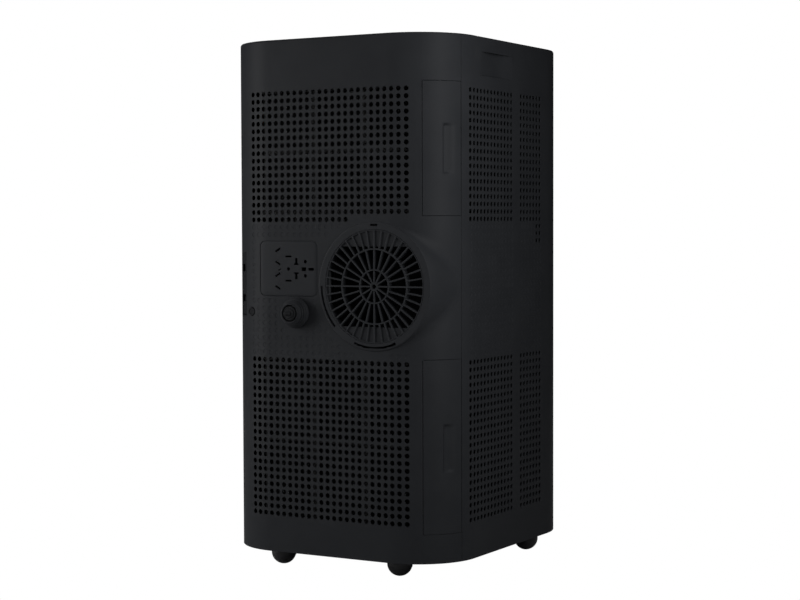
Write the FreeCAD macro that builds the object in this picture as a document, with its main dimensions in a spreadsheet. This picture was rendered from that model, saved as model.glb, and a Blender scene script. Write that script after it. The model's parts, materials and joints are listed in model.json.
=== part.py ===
import FreeCAD, Part
import Sketcher
import math
import os

# Portable air conditioner on ball casters, seen from its service side (+Y): upper and
# lower perforated intakes with slide-out filters, a round exhaust outlet in a drafted
# boss, a drain port and a parking plate for the mains plug. The cool air leaves through
# louvres at the top of the front (-Y). +Z is up and the floor is z = 0. Shapes are drawn
# about the casing's vertical middle line, and every sub-part is then moved along Y by
# casing_mid_y, so that the origin lies under the middle of the whole object's box.

Vector = FreeCAD.Vector

DIMENSIONS = [
    ("casing_width", 355), ("casing_depth", 398), ("casing_mid_y", -15),
    ("corner_radius", 85), ("wall", 2.6), ("body_bottom", 25), ("body_top", 720),
    ("edge_round", 2.2), ("seam_angle", 71.5), ("front_seam_angle", 45),
    ("seam_half_angle", 0.14), ("fit_gap", 0.3), ("slide_gap", 0.5),
    # perforated intakes
    ("hole_pitch", 10), ("hole_diameter", 6.6), ("first_row_z", 647.5),
    ("back_columns", 25), ("upper_rows", 17), ("short_row_columns", 16),
    ("lower_first_row", 36), ("lower_rows", 22), ("side_first_y", 122.8),
    ("side_columns", 13), ("side_gap_columns", 2), ("side_rear_columns", 7),
    ("side_extra_rows", 3), ("side_extra_columns", 2),
    # exhaust outlet
    ("exhaust_x", -74), ("exhaust_z", 389), ("exhaust_proud", 1.5),
    ("flange_radius", 85), ("boss_root_radius", 97), ("boss_root_depth", 52),
    ("grille_radius", 75), ("grille_depth", 12), ("grille_rim", 1.6),
    ("grille_inner_ring", 22), ("grille_outer_ring", 49.5), ("grille_bar", 2.2),
    ("grille_bar_depth", 8), ("grille_hub", 6), ("grille_hub_hole", 3),
    ("grille_floor_depth", 2),
    ("grille_open_bottom", 335.5), ("grille_open_top", 441.7), ("grille_open_x", -5.5),
    ("slot_radius", 81), ("slot_width", 3), ("slot_key_radius", 1.8),
    # plug parking plate
    ("plate_x", 61.2), ("plate_z", 411.5), ("plate_width", 92.5),
    ("plate_height", 74), ("plate_corner", 8), ("plate_recess", 0.4),
    # drain port
    ("drain_x", 47.5), ("drain_z", 352), ("collar_radius", 20.3),
    ("collar_front_radius", 13.3), ("collar_length", 16.5), ("collar_band", 5),
    ("rib_count", 3), ("rib_pitch", 3), ("rib_depth", 0.8), ("spigot_radius", 11),
    ("spigot_bore", 7.5), ("spigot_length", 39), ("spigot_setback", 26),
    ("washer_thickness", 1.8), ("stopper_length", 9), ("stopper_fit", 0.08),
    ("stopper_head_radius", 9.4), ("stopper_head", 3.5), ("stopper_reach", 30),
    ("stopper_nub", 3.4), ("stopper_tip", 1.8),
    # cord gland and cord hook recess on the far rear corner
    ("gland_x", 125), ("gland_z", 352), ("gland_radius", 6), ("gland_bore", 3.6),
    ("gland_depth", 9), ("gland_lip", 2),
    ("hook_bottom", 346), ("hook_top", 433), ("hook_half_width", 17.5), ("hook_depth", 8),
    ("socket_lower_z", 364), ("socket_upper_z", 406), ("socket_width", 22),
    ("socket_height", 10), ("socket_depth", 10),
    # handle pockets
    ("handle_mid_y", 47.5), ("handle_length", 95), ("handle_bottom", 668),
    ("handle_top", 700), ("handle_depth", 4.5),
    # filters
    ("tab_angle", 33), ("upper_tab_bottom", 481.5), ("upper_tab_top", 657.5),
    ("lower_tab_bottom", 63.5), ("lower_tab_top", 293.5), ("tab_gap", 0.4),
    ("grip_start", 52), ("grip_end", 64), ("grip_depth", 7),
    ("filter_y", 174), ("filter_thickness", 7), ("filter_bar", 6),
    ("filter_left", -131), ("filter_right", 112), ("rail_wall", 1.6),
    # felt pads behind the side perforations
    ("screen_gap", 1.1), ("screen_thickness", 0.8), ("screen_rear_y", 127),
    ("screen_front_y", -95), ("screen_upper_bottom", 442), ("screen_upper_top", 656),
    ("screen_lower_bottom", 66), ("screen_lower_top", 296),
    # air outlet and louvres
    ("outlet_width", 270), ("outlet_bottom", 612), ("outlet_top", 688),
    ("outlet_depth", 80), ("outlet_wall", 2.4), ("blade_count", 3), ("blade_pitch", 22),
    ("blade_chord", 21), ("blade_thickness", 3), ("blade_inset", 15),
    ("vane_count", 4), ("vane_pitch", 60), ("vane_chord", 34), ("vane_inset", 50),
    ("pin_radius", 2), ("pin_fit", 0.05),
    # casters
    ("ball_radius", 17.3), ("ball_gap", 5), ("fork_thickness", 4), ("caster_trail", 9),
    ("axle_radius", 2.5), ("stem_radius", 5), ("stem_height", 18), ("well_radius", 31),
    ("well_top", 39), ("rear_caster_x", 93), ("rear_caster_y", 148.7),
    ("front_caster_x", 138), ("front_caster_y", -102.4),
    # base, deck and machinery
    ("pan_floor", 3), ("pan_rim", 62), ("deck_z", 468), ("deck_thickness", 3),
    ("deck_rim", 12), ("coil_y", 132), ("coil_depth", 34), ("coil_left", -125),
    ("coil_right", 112), ("fin_pitch", 8), ("fin_thickness", 1.2), ("tube_radius", 4),
    ("fan_y", 56), ("fan_depth", 52), ("scroll_y", 46), ("scroll_depth", 74),
    ("scroll_wall", 2), ("upper_fan_x", 10), ("upper_fan_z", 572),
    ("upper_fan_radius", 72), ("upper_scroll_radius", 92), ("lower_fan_x", -12),
    ("lower_fan_z", 192), ("lower_fan_radius", 84), ("lower_scroll_radius", 104),
    ("fan_blades", 24), ("motor_radius", 40), ("motor_length", 62),
    ("shaft_radius", 4), ("compressor_x", 95), ("compressor_y", -20),
    ("compressor_radius", 56), ("compressor_bottom", 52), ("compressor_height", 230),
    ("mount_circle", 60), ("mount_radius", 11),
    # top and controls
    ("top_inset", 4), ("top_thickness", 3), ("panel_width", 170), ("panel_depth", 66),
    ("panel_y", -128), ("button_count", 5), ("button_pitch", 31), ("button_radius", 8),
    ("button_y", -140), ("window_width", 60), ("window_depth", 18), ("window_y", -114),
]

doc = FreeCAD.newDocument("portable_air_conditioner")
sheet = doc.addObject("Spreadsheet::Sheet", "dims")
for row, (alias, value) in enumerate(DIMENSIONS, start=1):
    sheet.set(f"A{row}", alias)
    sheet.set(f"B{row}", str(value))
    sheet.setAlias(f"B{row}", alias)
doc.recompute()

SUBPARTS = []


def val(expression):
    """The number that an expression over the sheet's cells comes to."""
    return float(getattr(sheet.evalExpression(str(expression)), "Value",
                         sheet.evalExpression(str(expression))))


def bind(item, path, expression):
    item.setExpression(path, str(expression))


def place(item, x=0, y=0, z=0):
    for axis, expression in zip("xyz", (x, y, z)):
        bind(item, f"Placement.Base.{axis}", expression)


def turn(item, axis, degrees, centre=(0, 0, 0)):
    """Turns a primitive about a point, once its own Placement is known."""
    doc.recompute()
    for path, _ in item.ExpressionEngine:
        if path.startswith(".Placement") or path.startswith("Placement"):
            item.setExpression(path, None)
    rotation = FreeCAD.Placement(Vector(), FreeCAD.Rotation(axis, degrees), Vector(*centre))
    item.Placement = rotation.multiply(item.Placement)
    return item


def box(name, x, y, z, length, width, height):
    """A box from its lowest corner."""
    item = doc.addObject("Part::Box", name)
    bind(item, "Length", length)
    bind(item, "Width", width)
    bind(item, "Height", height)
    place(item, x, y, z)
    return item


AXES = {"z": (Vector(0, 0, 1), 0), "y": (Vector(1, 0, 0), -90), "x": (Vector(0, 1, 0), 90)}


def cylinder(name, axis, x, y, z, radius, height):
    """A cylinder that starts at a point and runs along +X, +Y or +Z."""
    item = doc.addObject("Part::Cylinder", name)
    bind(item, "Radius", radius)
    bind(item, "Height", height)
    item.Placement = FreeCAD.Placement(Vector(), FreeCAD.Rotation(*AXES[axis]))
    place(item, x, y, z)
    return item


def cone(name, axis, x, y, z, start_radius, end_radius, height):
    item = doc.addObject("Part::Cone", name)
    bind(item, "Radius1", start_radius)
    bind(item, "Radius2", end_radius)
    bind(item, "Height", height)
    item.Placement = FreeCAD.Placement(Vector(), FreeCAD.Rotation(*AXES[axis]))
    place(item, x, y, z)
    return item


def fuse(name, *shapes):
    item = doc.addObject("Part::MultiFuse", name)
    item.Shapes = list(shapes)
    return item


def common(name, base, tool):
    item = doc.addObject("Part::Common", name)
    item.Base = base
    item.Tool = tool
    return item


def cut(name, base, *tools):
    for number, tool in enumerate(tools, start=1):
        item = doc.addObject("Part::Cut", name if number == len(tools) else f"{name}_cut")
        item.Base = base
        item.Tool = tool
        base = item
    return base


def group(name, *shapes):
    """Several separate solids that make one node."""
    item = doc.addObject("Part::Compound", name)
    item.Links = list(shapes)
    return item


def feature(name, shape):
    """A shape worked out from the sheet where no primitive or sketch fits."""
    item = doc.addObject("Part::Feature", name)
    item.Shape = shape
    return item


def publish(item, name):
    """Makes an object a sub-part: its label names its file, and it moves with the casing."""
    doc.recompute()
    item.Label = name
    own = [text for path, text in item.ExpressionEngine if path.endswith("Placement.Base.y")]
    base = item.Placement.Base
    if own or base.y == 0:
        bind(item, "Placement.Base.y", " + ".join([f"({text})" for text in own]
                                                  + ["dims.casing_mid_y"]))
    else:
        item.Placement.Base = Vector(base.x, base.y + val("dims.casing_mid_y"), base.z)
    SUBPARTS.append(item)
    return item


def new_body(name):
    return doc.addObject("PartDesign::Body", name)


def sketch_on(body, role, offset=0):
    """A sketch on one of the body's own origin planes, moved along the plane's normal."""
    sketch = body.newObject("Sketcher::SketchObject", f"{body.Name}_sketch")
    plane = next(item for item in body.Origin.OriginFeatures if item.Role == role)
    sketch.AttachmentSupport = (plane, "")
    sketch.MapMode = "FlatFace"
    bind(sketch, "AttachmentOffset.Base.z", offset)
    return sketch


def fix_point(sketch, edge, end, x, y):
    """Ties a point of a sketch to the sheet."""
    for kind, expression in (("DistanceX", x), ("DistanceY", y)):
        rule = Sketcher.Constraint(kind, -1, 1, edge, end, val(expression))
        bind(sketch, f"Constraints[{sketch.addConstraint(rule)}]", expression)


def outline(sketch, points, arcs=None):
    """A closed outline through points, each a pair of expressions. arcs gives, for a side's
    number, its centre, its radius and whether it runs anticlockwise."""
    arcs = arcs or {}
    spots = [Vector(val(x), val(y), 0) for x, y in points]
    first = sketch.GeometryCount
    count = len(points)
    for side in range(count):
        start = spots[side]
        end = spots[(side + 1) % count]
        if side not in arcs:
            sketch.addGeometry(Part.LineSegment(start, end), False)
            continue
        (cx, cy), radius, anticlockwise = arcs[side]
        centre = Vector(val(cx), val(cy), 0)
        low, high = (start, end) if anticlockwise else (end, start)
        angles = [math.atan2(p.y - centre.y, p.x - centre.x) for p in (low, high)]
        if angles[1] <= angles[0]:
            angles[1] += 2 * math.pi
        circle = Part.Circle(centre, Vector(0, 0, 1), val(radius))
        sketch.addGeometry(Part.ArcOfCircle(circle, *angles), False)

    def start_end(side):
        if side in arcs and not arcs[side][2]:
            return 2, 1
        return 1, 2

    for side in range(count):
        following = (side + 1) % count
        sketch.addConstraint(Sketcher.Constraint(
            "Coincident", first + side, start_end(side)[1],
            first + following, start_end(following)[0]))
    for side, (x, y) in enumerate(points):
        fix_point(sketch, first + side, start_end(side)[0], x, y)
    for side, (_, radius, _) in arcs.items():
        index = sketch.addConstraint(Sketcher.Constraint("Radius", first + side, val(radius)))
        bind(sketch, f"Constraints[{index}]", radius)


def circle(sketch, x, y, radius):
    edge = sketch.addGeometry(
        Part.Circle(Vector(val(x), val(y), 0), Vector(0, 0, 1), val(radius)), False)
    fix_point(sketch, edge, 3, x, y)
    index = sketch.addConstraint(Sketcher.Constraint("Radius", edge, val(radius)))
    bind(sketch, f"Constraints[{index}]", radius)


def rectangle(sketch, x, y, width, height):
    """A rectangle about its middle."""
    left, right = f"{x} - ({width}) / 2", f"{x} + ({width}) / 2"
    low, high = f"{y} - ({height}) / 2", f"{y} + ({height}) / 2"
    outline(sketch, [(left, low), (right, low), (right, high), (left, high)])


def rounded_rectangle(sketch, x, y, width, height, radius):
    """A rectangle about its middle, with round corners."""
    half, tall = f"({width}) / 2", f"({height}) / 2"
    inner_x, inner_y = f"({half} - ({radius}))", f"({tall} - ({radius}))"
    points = [
        (f"{x} - {inner_x}", f"{y} - {tall}"), (f"{x} + {inner_x}", f"{y} - {tall}"),
        (f"{x} + {half}", f"{y} - {inner_y}"), (f"{x} + {half}", f"{y} + {inner_y}"),
        (f"{x} + {inner_x}", f"{y} + {tall}"), (f"{x} - {inner_x}", f"{y} + {tall}"),
        (f"{x} - {half}", f"{y} + {inner_y}"), (f"{x} - {half}", f"{y} - {inner_y}"),
    ]
    signs = {1: ("+", "-"), 3: ("+", "+"), 5: ("-", "+"), 7: ("-", "-")}
    arcs = {
        side: ((f"{x} {sx} {inner_x}", f"{y} {sy} {inner_y}"), radius, True)
        for side, (sx, sy) in signs.items()
    }
    outline(sketch, points, arcs)


def pad(body, sketch, length, reverse=False):
    item = body.newObject("PartDesign::Pad", f"{body.Name}_pad")
    item.Profile = sketch
    bind(item, "Length", length)
    item.Reversed = reverse
    return item


def pocket(body, sketch, length, reverse=False):
    """A pocket that must take material away, or the run stops."""
    doc.recompute()
    before = body.Shape.Volume
    item = body.newObject("PartDesign::Pocket", f"{body.Name}_pocket")
    item.Profile = sketch
    bind(item, "Length", length)
    item.Reversed = reverse
    doc.recompute()
    if body.Shape.Volume > before - 1e-3:
        raise ValueError(f"{item.Name} takes nothing away")
    return item


def polar(body, source, role, count):
    """Copies of a feature about one of the body's own axes."""
    axis = next(item for item in body.Origin.OriginFeatures if item.Role == role)
    item = body.newObject("PartDesign::PolarPattern", f"{body.Name}_polar")
    item.Originals = [source]
    item.Axis = (axis, [""])
    item.Angle = 360
    bind(item, "Occurrences", count)
    body.Tip = item
    return item


def fillet_edges(body, source, radius, wanted):
    """Rounds the edges that wanted picks."""
    doc.recompute()
    names = [f"Edge{number}" for number, edge in enumerate(source.Shape.Edges, start=1)
             if wanted(edge)]
    item = body.newObject("PartDesign::Fillet", f"{body.Name}_fillet")
    item.Base = (source, names)
    bind(item, "Radius", radius)
    return item


# ---- the casing's outline ----------------------------------------------------------------

HALF_X = "dims.casing_width / 2"
HALF_Y = "dims.casing_depth / 2"
ARC_X = "(dims.casing_width / 2 - dims.corner_radius)"
ARC_Y = "(dims.casing_depth / 2 - dims.corner_radius)"
HEIGHT = "dims.body_top - dims.body_bottom"
REAR_SEAM = "(dims.seam_angle - dims.seam_half_angle)"
SIDE_REAR_SEAM = "(dims.seam_angle + dims.seam_half_angle)"
FRONT_SEAM = "(dims.front_seam_angle - dims.seam_half_angle)"
SIDE_FRONT_SEAM = "(dims.front_seam_angle + dims.seam_half_angle)"


def corner_point(side, end, inset, angle):
    """A point of a corner arc. side and end are the signs of X and Y, and the angle runs
    from the Y axis toward the side."""
    radius = f"(dims.corner_radius - {inset})"
    return (f"{side} * ({ARC_X} + {radius} * sin({angle}))",
            f"{end} * ({ARC_Y} + {radius} * cos({angle}))")


def wall_strip(sketch, first_corner, second_corner):
    """The section of a wall that turns two corners. Each corner is the signs of X and Y
    and the angles at which the wall enters and leaves it, anticlockwise."""
    outer, inner = [], []
    for side, end, enters, leaves in (first_corner, second_corner):
        for angle in (enters, leaves):
            outer.append(corner_point(side, end, "0", angle))
            inner.append(corner_point(side, end, "dims.wall", angle))
    arcs = {}
    for number, (side, end, _, _) in enumerate((first_corner, second_corner)):
        centre = (f"{side} * {ARC_X}", f"{end} * {ARC_Y}")
        arcs[2 * number] = (centre, "dims.corner_radius", True)
        arcs[6 - 2 * number] = (centre, "dims.corner_radius - dims.wall", False)
    outline(sketch, outer + inner[::-1], arcs)


def outer_top_edge(edge):
    """True for an edge along the top of a wall, on its outer face."""
    reach = edge.BoundBox
    if reach.ZMin < val("dims.body_top") - 0.01:
        return False
    middle = edge.valueAt((edge.FirstParameter + edge.LastParameter) / 2)
    over_x = abs(middle.x) - val(ARC_X)
    over_y = abs(middle.y) - val(ARC_Y)
    if over_x > 0 and over_y > 0:
        out = math.hypot(over_x, over_y)
    else:
        out = max(over_x, over_y)
    return out > val("dims.corner_radius") - 0.1


def wall_body(name, first_corner, second_corner):
    body = new_body(name)
    sketch = sketch_on(body, "XY_Plane", "dims.body_bottom")
    wall_strip(sketch, first_corner, second_corner)
    wall = pad(body, sketch, HEIGHT)
    fillet_edges(body, wall, "dims.edge_round", outer_top_edge)
    return body


def casing_block(name, inset, bottom, height):
    """The casing's plan, moved in by an inset, as a solid block."""
    body = new_body(name)
    sketch = sketch_on(body, "XY_Plane", bottom)
    rounded_rectangle(sketch, "0", "0", f"dims.casing_width - 2 * ({inset})",
                      f"dims.casing_depth - 2 * ({inset})", f"dims.corner_radius - ({inset})")
    pad(body, sketch, height)
    return body


def row_z(row):
    return val("dims.first_row_z") - row * val("dims.hole_pitch")


def hole_field(name, centres, axis, start, length):
    """Cylinders for the perforations, as one tool."""
    radius = val("dims.hole_diameter") / 2
    tools = []
    for centre in centres:
        base = Vector(*centre) + Vector(axis) * start
        tools.append(Part.makeCylinder(radius, length, base, Vector(axis)))
    return feature(name, Part.Compound(tools))


# ---- casing panels -----------------------------------------------------------------------

def back_hole_centres():
    columns = int(val("dims.back_columns"))
    pitch = val("dims.hole_pitch")
    xs = [pitch * (number - (columns - 1) / 2) for number in range(columns)]
    upper = int(val("dims.upper_rows"))
    centres = [(x, 0, row_z(row)) for row in range(upper) for x in xs]
    short = xs[-int(val("dims.short_row_columns")):]
    centres += [(x, 0, row_z(upper)) for x in short]
    first = int(val("dims.lower_first_row"))
    rows = range(first, first + int(val("dims.lower_rows")))
    return centres + [(x, 0, row_z(row)) for row in rows for x in xs]


def tab_opening(name, bottom, top):
    """What a filter's tab takes from the rear cover: a wedge of the corner."""
    corner = [(f"-{ARC_X}", ARC_Y)]
    reach = "(dims.corner_radius + 30)"
    for angle in ("dims.tab_angle", "dims.seam_angle + 5"):
        corner.append((f"-({ARC_X} + {reach} * sin({angle}))", f"{ARC_Y} + {reach} * cos({angle})"))
    body = new_body(name)
    sketch = sketch_on(body, "XY_Plane", bottom)
    outline(sketch, corner)
    pad(body, sketch, f"{top} - ({bottom})")
    return body


def rear_cover():
    wall = wall_body("rear_wall", ("1", "1", REAR_SEAM, "0"), ("-1", "1", "0", REAR_SEAM))
    face_y = f"({HALF_Y} + dims.exhaust_proud)"
    root_y = f"({HALF_Y} - dims.boss_root_depth)"
    depth = "dims.boss_root_depth + dims.exhaust_proud"
    boss = cone("boss_outside", "y", "dims.exhaust_x", root_y, "dims.exhaust_z",
                "dims.boss_root_radius", "dims.flange_radius", depth)
    inside = casing_block("boss_trim", "dims.wall", "dims.body_bottom", HEIGHT)
    boss = cut("boss_shell", boss, inside)
    hollow = cone("boss_hollow", "y", "dims.exhaust_x", f"{root_y} - dims.wall",
                  "dims.exhaust_z", "dims.boss_root_radius - dims.wall",
                  "dims.flange_radius - dims.wall", depth)
    shell = cut("boss_and_wall", fuse("wall_with_boss", wall, boss), hollow)
    mouth = cylinder("grille_seat", "y", "dims.exhaust_x", root_y, "dims.exhaust_z",
                     "dims.grille_radius + dims.fit_gap", depth + " + 10")
    slots = bayonet_slots()
    plate = plate_block("plate_opening", "dims.fit_gap", f"{HALF_Y} - 20", "40")
    drain = cylinder("drain_opening", "y", "dims.drain_x", f"{HALF_Y} - 20", "dims.drain_z",
                     "dims.spigot_radius + dims.fit_gap", "40")
    gland = cylinder("gland_opening", "y", "dims.gland_x", f"{HALF_Y} - 30", "dims.gland_z",
                     "dims.gland_radius + dims.fit_gap", "60")
    upper = tab_opening("upper_tab_opening", "dims.upper_tab_bottom", "dims.upper_tab_top")
    lower = tab_opening("lower_tab_opening", "dims.lower_tab_bottom", "dims.lower_tab_top")
    shell = cut("rear_openings", shell, mouth, slots, plate, drain, gland, upper, lower)
    shell = hook_recess(shell)
    holes = hole_field("back_holes", back_hole_centres(), (0, 1, 0),
                       val(f"{ARC_Y} + 20"), 100)
    publish(cut("rear_cover", shell, holes), "rear_cover")


def bayonet_slots():
    """Arc slots in the flange face for the exhaust hose's adapter."""
    spans = ((180, 221), (249, 291), (86, 94))
    radius = val("dims.slot_radius")
    half = val("dims.slot_width") / 2
    face = val(f"{HALF_Y} + dims.exhaust_proud")
    centre = Vector(val("dims.exhaust_x"), face - 6, val("dims.exhaust_z"))
    tools = []
    for start, end in spans:
        edges = []
        for ring, order in ((radius + half, 1), (radius - half, -1)):
            points = [
                centre + Vector(ring * math.cos(math.radians(a)), 0,
                                ring * math.sin(math.radians(a)))
                for a in (180 - start, 180 - (start + end) / 2, 180 - end)
            ]
            edges.append(points[::order])
        outer, inner = edges
        wire = Part.Wire([
            Part.Arc(*outer).toShape(), Part.LineSegment(outer[-1], inner[0]).toShape(),
            Part.Arc(*inner).toShape(), Part.LineSegment(inner[-1], outer[0]).toShape(),
        ])
        tools.append(Part.Face(wire).extrude(Vector(0, 20, 0)))
    key = math.radians(180 - spans[1][1])
    spot = centre + Vector(radius * math.cos(key), 0, radius * math.sin(key))
    tools.append(Part.makeCylinder(val("dims.slot_key_radius"), 20, spot, Vector(0, 1, 0)))
    return feature("bayonet_slots", Part.Compound(tools))


def hook_recess(shell):
    """A shallow upright pocket on the far rear corner, with two sockets for a cord hook."""
    tall = "dims.hook_top - dims.hook_bottom"
    half = "dims.hook_half_width"
    floor = "(dims.corner_radius - dims.hook_depth)"
    centre = (val(ARC_X), val(ARC_Y), 0)
    wall = box("hook_wall", f"{ARC_X} - {half} - dims.wall", f"{ARC_Y} + {floor} - dims.wall",
               "dims.hook_bottom - dims.wall", f"2 * ({half} + dims.wall)",
               "dims.hook_depth", f"{tall} + 2 * dims.wall")
    room = box("hook_room", f"{ARC_X} - {half}", f"{ARC_Y} + {floor}", "dims.hook_bottom",
               f"2 * {half}", "30", tall)
    sockets = [
        box(f"hook_socket_{level}", f"{ARC_X} - dims.socket_width / 2",
            f"{ARC_Y} + {floor} - dims.socket_depth", f"dims.socket_{level}_z",
            "dims.socket_width", "dims.socket_depth + 5", "dims.socket_height")
        for level in ("lower", "upper")
    ]
    for item in [wall, room] + sockets:
        turn(item, Vector(0, 0, 1), -45, centre)
    trimmed = common("hook_wall_trimmed", wall,
                     casing_block("hook_trim", "0", "dims.body_bottom", HEIGHT))
    return cut("hook_recess", fuse("wall_with_hook", shell, trimmed), room, *sockets)


def side_hole_centres():
    pitch = val("dims.hole_pitch")
    first = val("dims.side_first_y")
    columns = int(val("dims.side_columns"))
    skip = columns + int(val("dims.side_gap_columns"))
    rear = int(val("dims.side_rear_columns"))
    ys = [first - pitch * number for number in range(columns)]
    far = [first - pitch * number for number in range(skip, skip + rear)]
    upper = int(val("dims.upper_rows")) + 1
    lower = int(val("dims.lower_first_row"))
    rows = list(range(upper)) + list(range(lower, lower + int(val("dims.lower_rows"))))
    centres = [(0, y, row_z(row)) for row in rows for y in ys + far]
    extra = far[-int(val("dims.side_extra_columns")):]
    rows = range(upper, upper + int(val("dims.side_extra_rows")))
    return centres + [(0, y, row_z(row)) for row in rows for y in extra]


def side_panel(name, side):
    """A perforated side with a finger pocket near its top. side is the sign of X."""
    if side > 0:
        wall = wall_body(f"{name}_wall", ("1", "-1", SIDE_FRONT_SEAM, "90"),
                         ("1", "1", "90", SIDE_REAR_SEAM))
    else:
        wall = wall_body(f"{name}_wall", ("-1", "1", SIDE_REAR_SEAM, "90"),
                         ("-1", "-1", "90", SIDE_FRONT_SEAM))
    depth = "dims.handle_depth"
    half = "(dims.handle_length / 2)"
    radius = f"(({half} * {half} + {depth} * {depth}) / (2 * {depth}))"
    axis_x = f"{side} * ({HALF_X} - {depth} + {radius})"
    tall = "dims.handle_top - dims.handle_bottom"
    drum = cylinder(f"{name}_drum", "z", axis_x, "dims.handle_mid_y",
                    "dims.handle_bottom - dims.wall", f"{radius} + dims.wall",
                    f"{tall} + 2 * dims.wall")
    drum = common(f"{name}_pocket_wall", drum,
                  casing_block(f"{name}_trim", "0.01", "dims.body_bottom", HEIGHT))
    room = cylinder(f"{name}_room", "z", axis_x, "dims.handle_mid_y", "dims.handle_bottom",
                    radius, tall)
    shell = cut(f"{name}_pocketed", fuse(f"{name}_with_pocket", wall, drum), room)
    holes = hole_field(f"{name}_holes", side_hole_centres(), (side, 0, 0), 150, 60)
    publish(cut(name, shell, holes), name)


def front_panel():
    wall = wall_body("front_wall", ("-1", "-1", FRONT_SEAM, "0"), ("1", "-1", "0", FRONT_SEAM))
    tall = "dims.outlet_top - dims.outlet_bottom"
    mouth = box("outlet_mouth", "-dims.outlet_width / 2", f"-{HALF_Y} - 10",
                "dims.outlet_bottom", "dims.outlet_width", "40", tall)
    publish(cut("front_panel", wall, mouth), "front_panel")


def top_cover():
    """The lid, set a little below the rim, with an opening for the control panel."""
    body = new_body("top_cover")
    inset = "(dims.wall + dims.fit_gap)"
    sketch = sketch_on(body, "XY_Plane", "dims.body_top - dims.top_inset")
    rounded_rectangle(sketch, "0", "0", f"dims.casing_width - 2 * {inset}",
                      f"dims.casing_depth - 2 * {inset}", f"dims.corner_radius - {inset}")
    pad(body, sketch, "dims.top_thickness", reverse=True)
    hole = sketch_on(body, "XY_Plane", "dims.body_top - dims.top_inset")
    rounded_rectangle(hole, "0", "dims.panel_y", "dims.panel_width + 2 * dims.fit_gap",
                      "dims.panel_depth + 2 * dims.fit_gap", "6 + dims.fit_gap")
    pocket(body, hole, "dims.top_thickness")
    publish(body, "top_cover")


# ---- service side --------------------------------------------------------------------------

def plate_block(name, margin, start_y, depth):
    body = new_body(name)
    sketch = sketch_on(body, "XZ_Plane", f"-({start_y})")
    rounded_rectangle(sketch, "dims.plate_x", "dims.plate_z", f"dims.plate_width + 2 * {margin}",
                      f"dims.plate_height + 2 * {margin}", f"dims.plate_corner + {margin}")
    pad(body, sketch, depth, reverse=True)
    return body


def slanted_slot(name, x, z, length, width, degrees):
    """A straight slot through the parking plate."""
    item = box(name, f"{x} - {length} / 2", f"{HALF_Y} - 20", f"{z} - {width} / 2",
               length, "40", width)
    middle = (val(x), 0, val(z))
    return turn(item, Vector(0, -1, 0), degrees, middle)


def plug_plate():
    """The plate that parks the mains plug: slots and holes for several pin patterns."""
    face = f"({HALF_Y} - dims.plate_recess)"
    inner = f"({HALF_Y} - dims.wall - dims.fit_gap)"
    front = common("plate_front_trimmed",
                   plate_block("plate_front", "0", f"{inner} - 2", f"{face} - {inner} + 2"),
                   casing_block("plate_trim", "dims.plate_recess", "dims.body_bottom", HEIGHT))
    flange = common("plate_flange_trimmed",
                    plate_block("plate_flange", "3", f"{inner} - 2.4", "2.4"),
                    casing_block("flange_trim", "dims.wall + dims.fit_gap",
                                 "dims.body_bottom", HEIGHT))
    x, z = "dims.plate_x", "dims.plate_z"
    tools = []
    for number, (dz, lean) in enumerate(((25, -30), (7.6, 30), (-8.4, -30), (-25.8, 30))):
        tools.append(slanted_slot(f"plate_slant_{number}", f"({x} + 17.2)", f"({z} + {dz})",
                                  "9.3", "2.6", lean))
    for number, dz in enumerate((16.4, -16.4)):
        tools.append(slanted_slot(f"plate_bar_{number}", x, f"({z} + {dz})", "9.8", "2.4", 0))
        tools.append(cylinder(f"plate_pin_{number}", "y", f"{x} - 27.2", f"{HALF_Y} - 20",
                              f"{z} + {dz} * 0.58", "2.5", "40"))
        tools.append(slanted_slot(f"plate_foot_{number}", f"({x} - 12.6)",
                                  f"({z} + {dz} * 0.37)", "7.6", "2", 0))
        tools.append(slanted_slot(f"plate_leg_{number}", f"({x} - 12.6)",
                                  f"({z} + {dz} * 0.62)", "4", "8", 0))
    tools.append(cylinder("plate_earth_round", "y", x, f"{HALF_Y} - 20", f"{z} - 0.6", "2.4",
                          "40"))
    tools.append(slanted_slot("plate_earth_flat", f"({x} - 24.6)", f"({z} - 0.6)", "7.6", "5",
                              0))
    tools.append(slanted_slot("plate_end_bar", f"({x} - 36.4)", f"({z} - 0.6)", "9", "3.6", 0))
    tools.append(slanted_slot("plate_small", f"({x} + 14.4)", f"({z} - 1.6)", "4", "1.4", -30))
    publish(cut("plug_plate", fuse("plate_blank", front, flange), *tools), "plug_plate")


def ring(name, y, outer, inner, depth):
    """A ring about the exhaust's axis."""
    disc = cylinder(f"{name}_disc", "y", "dims.exhaust_x", y, "dims.exhaust_z", outer, depth)
    bore = cylinder(f"{name}_bore", "y", "dims.exhaust_x", y, "dims.exhaust_z", inner, depth)
    return cut(name, disc, bore)


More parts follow.
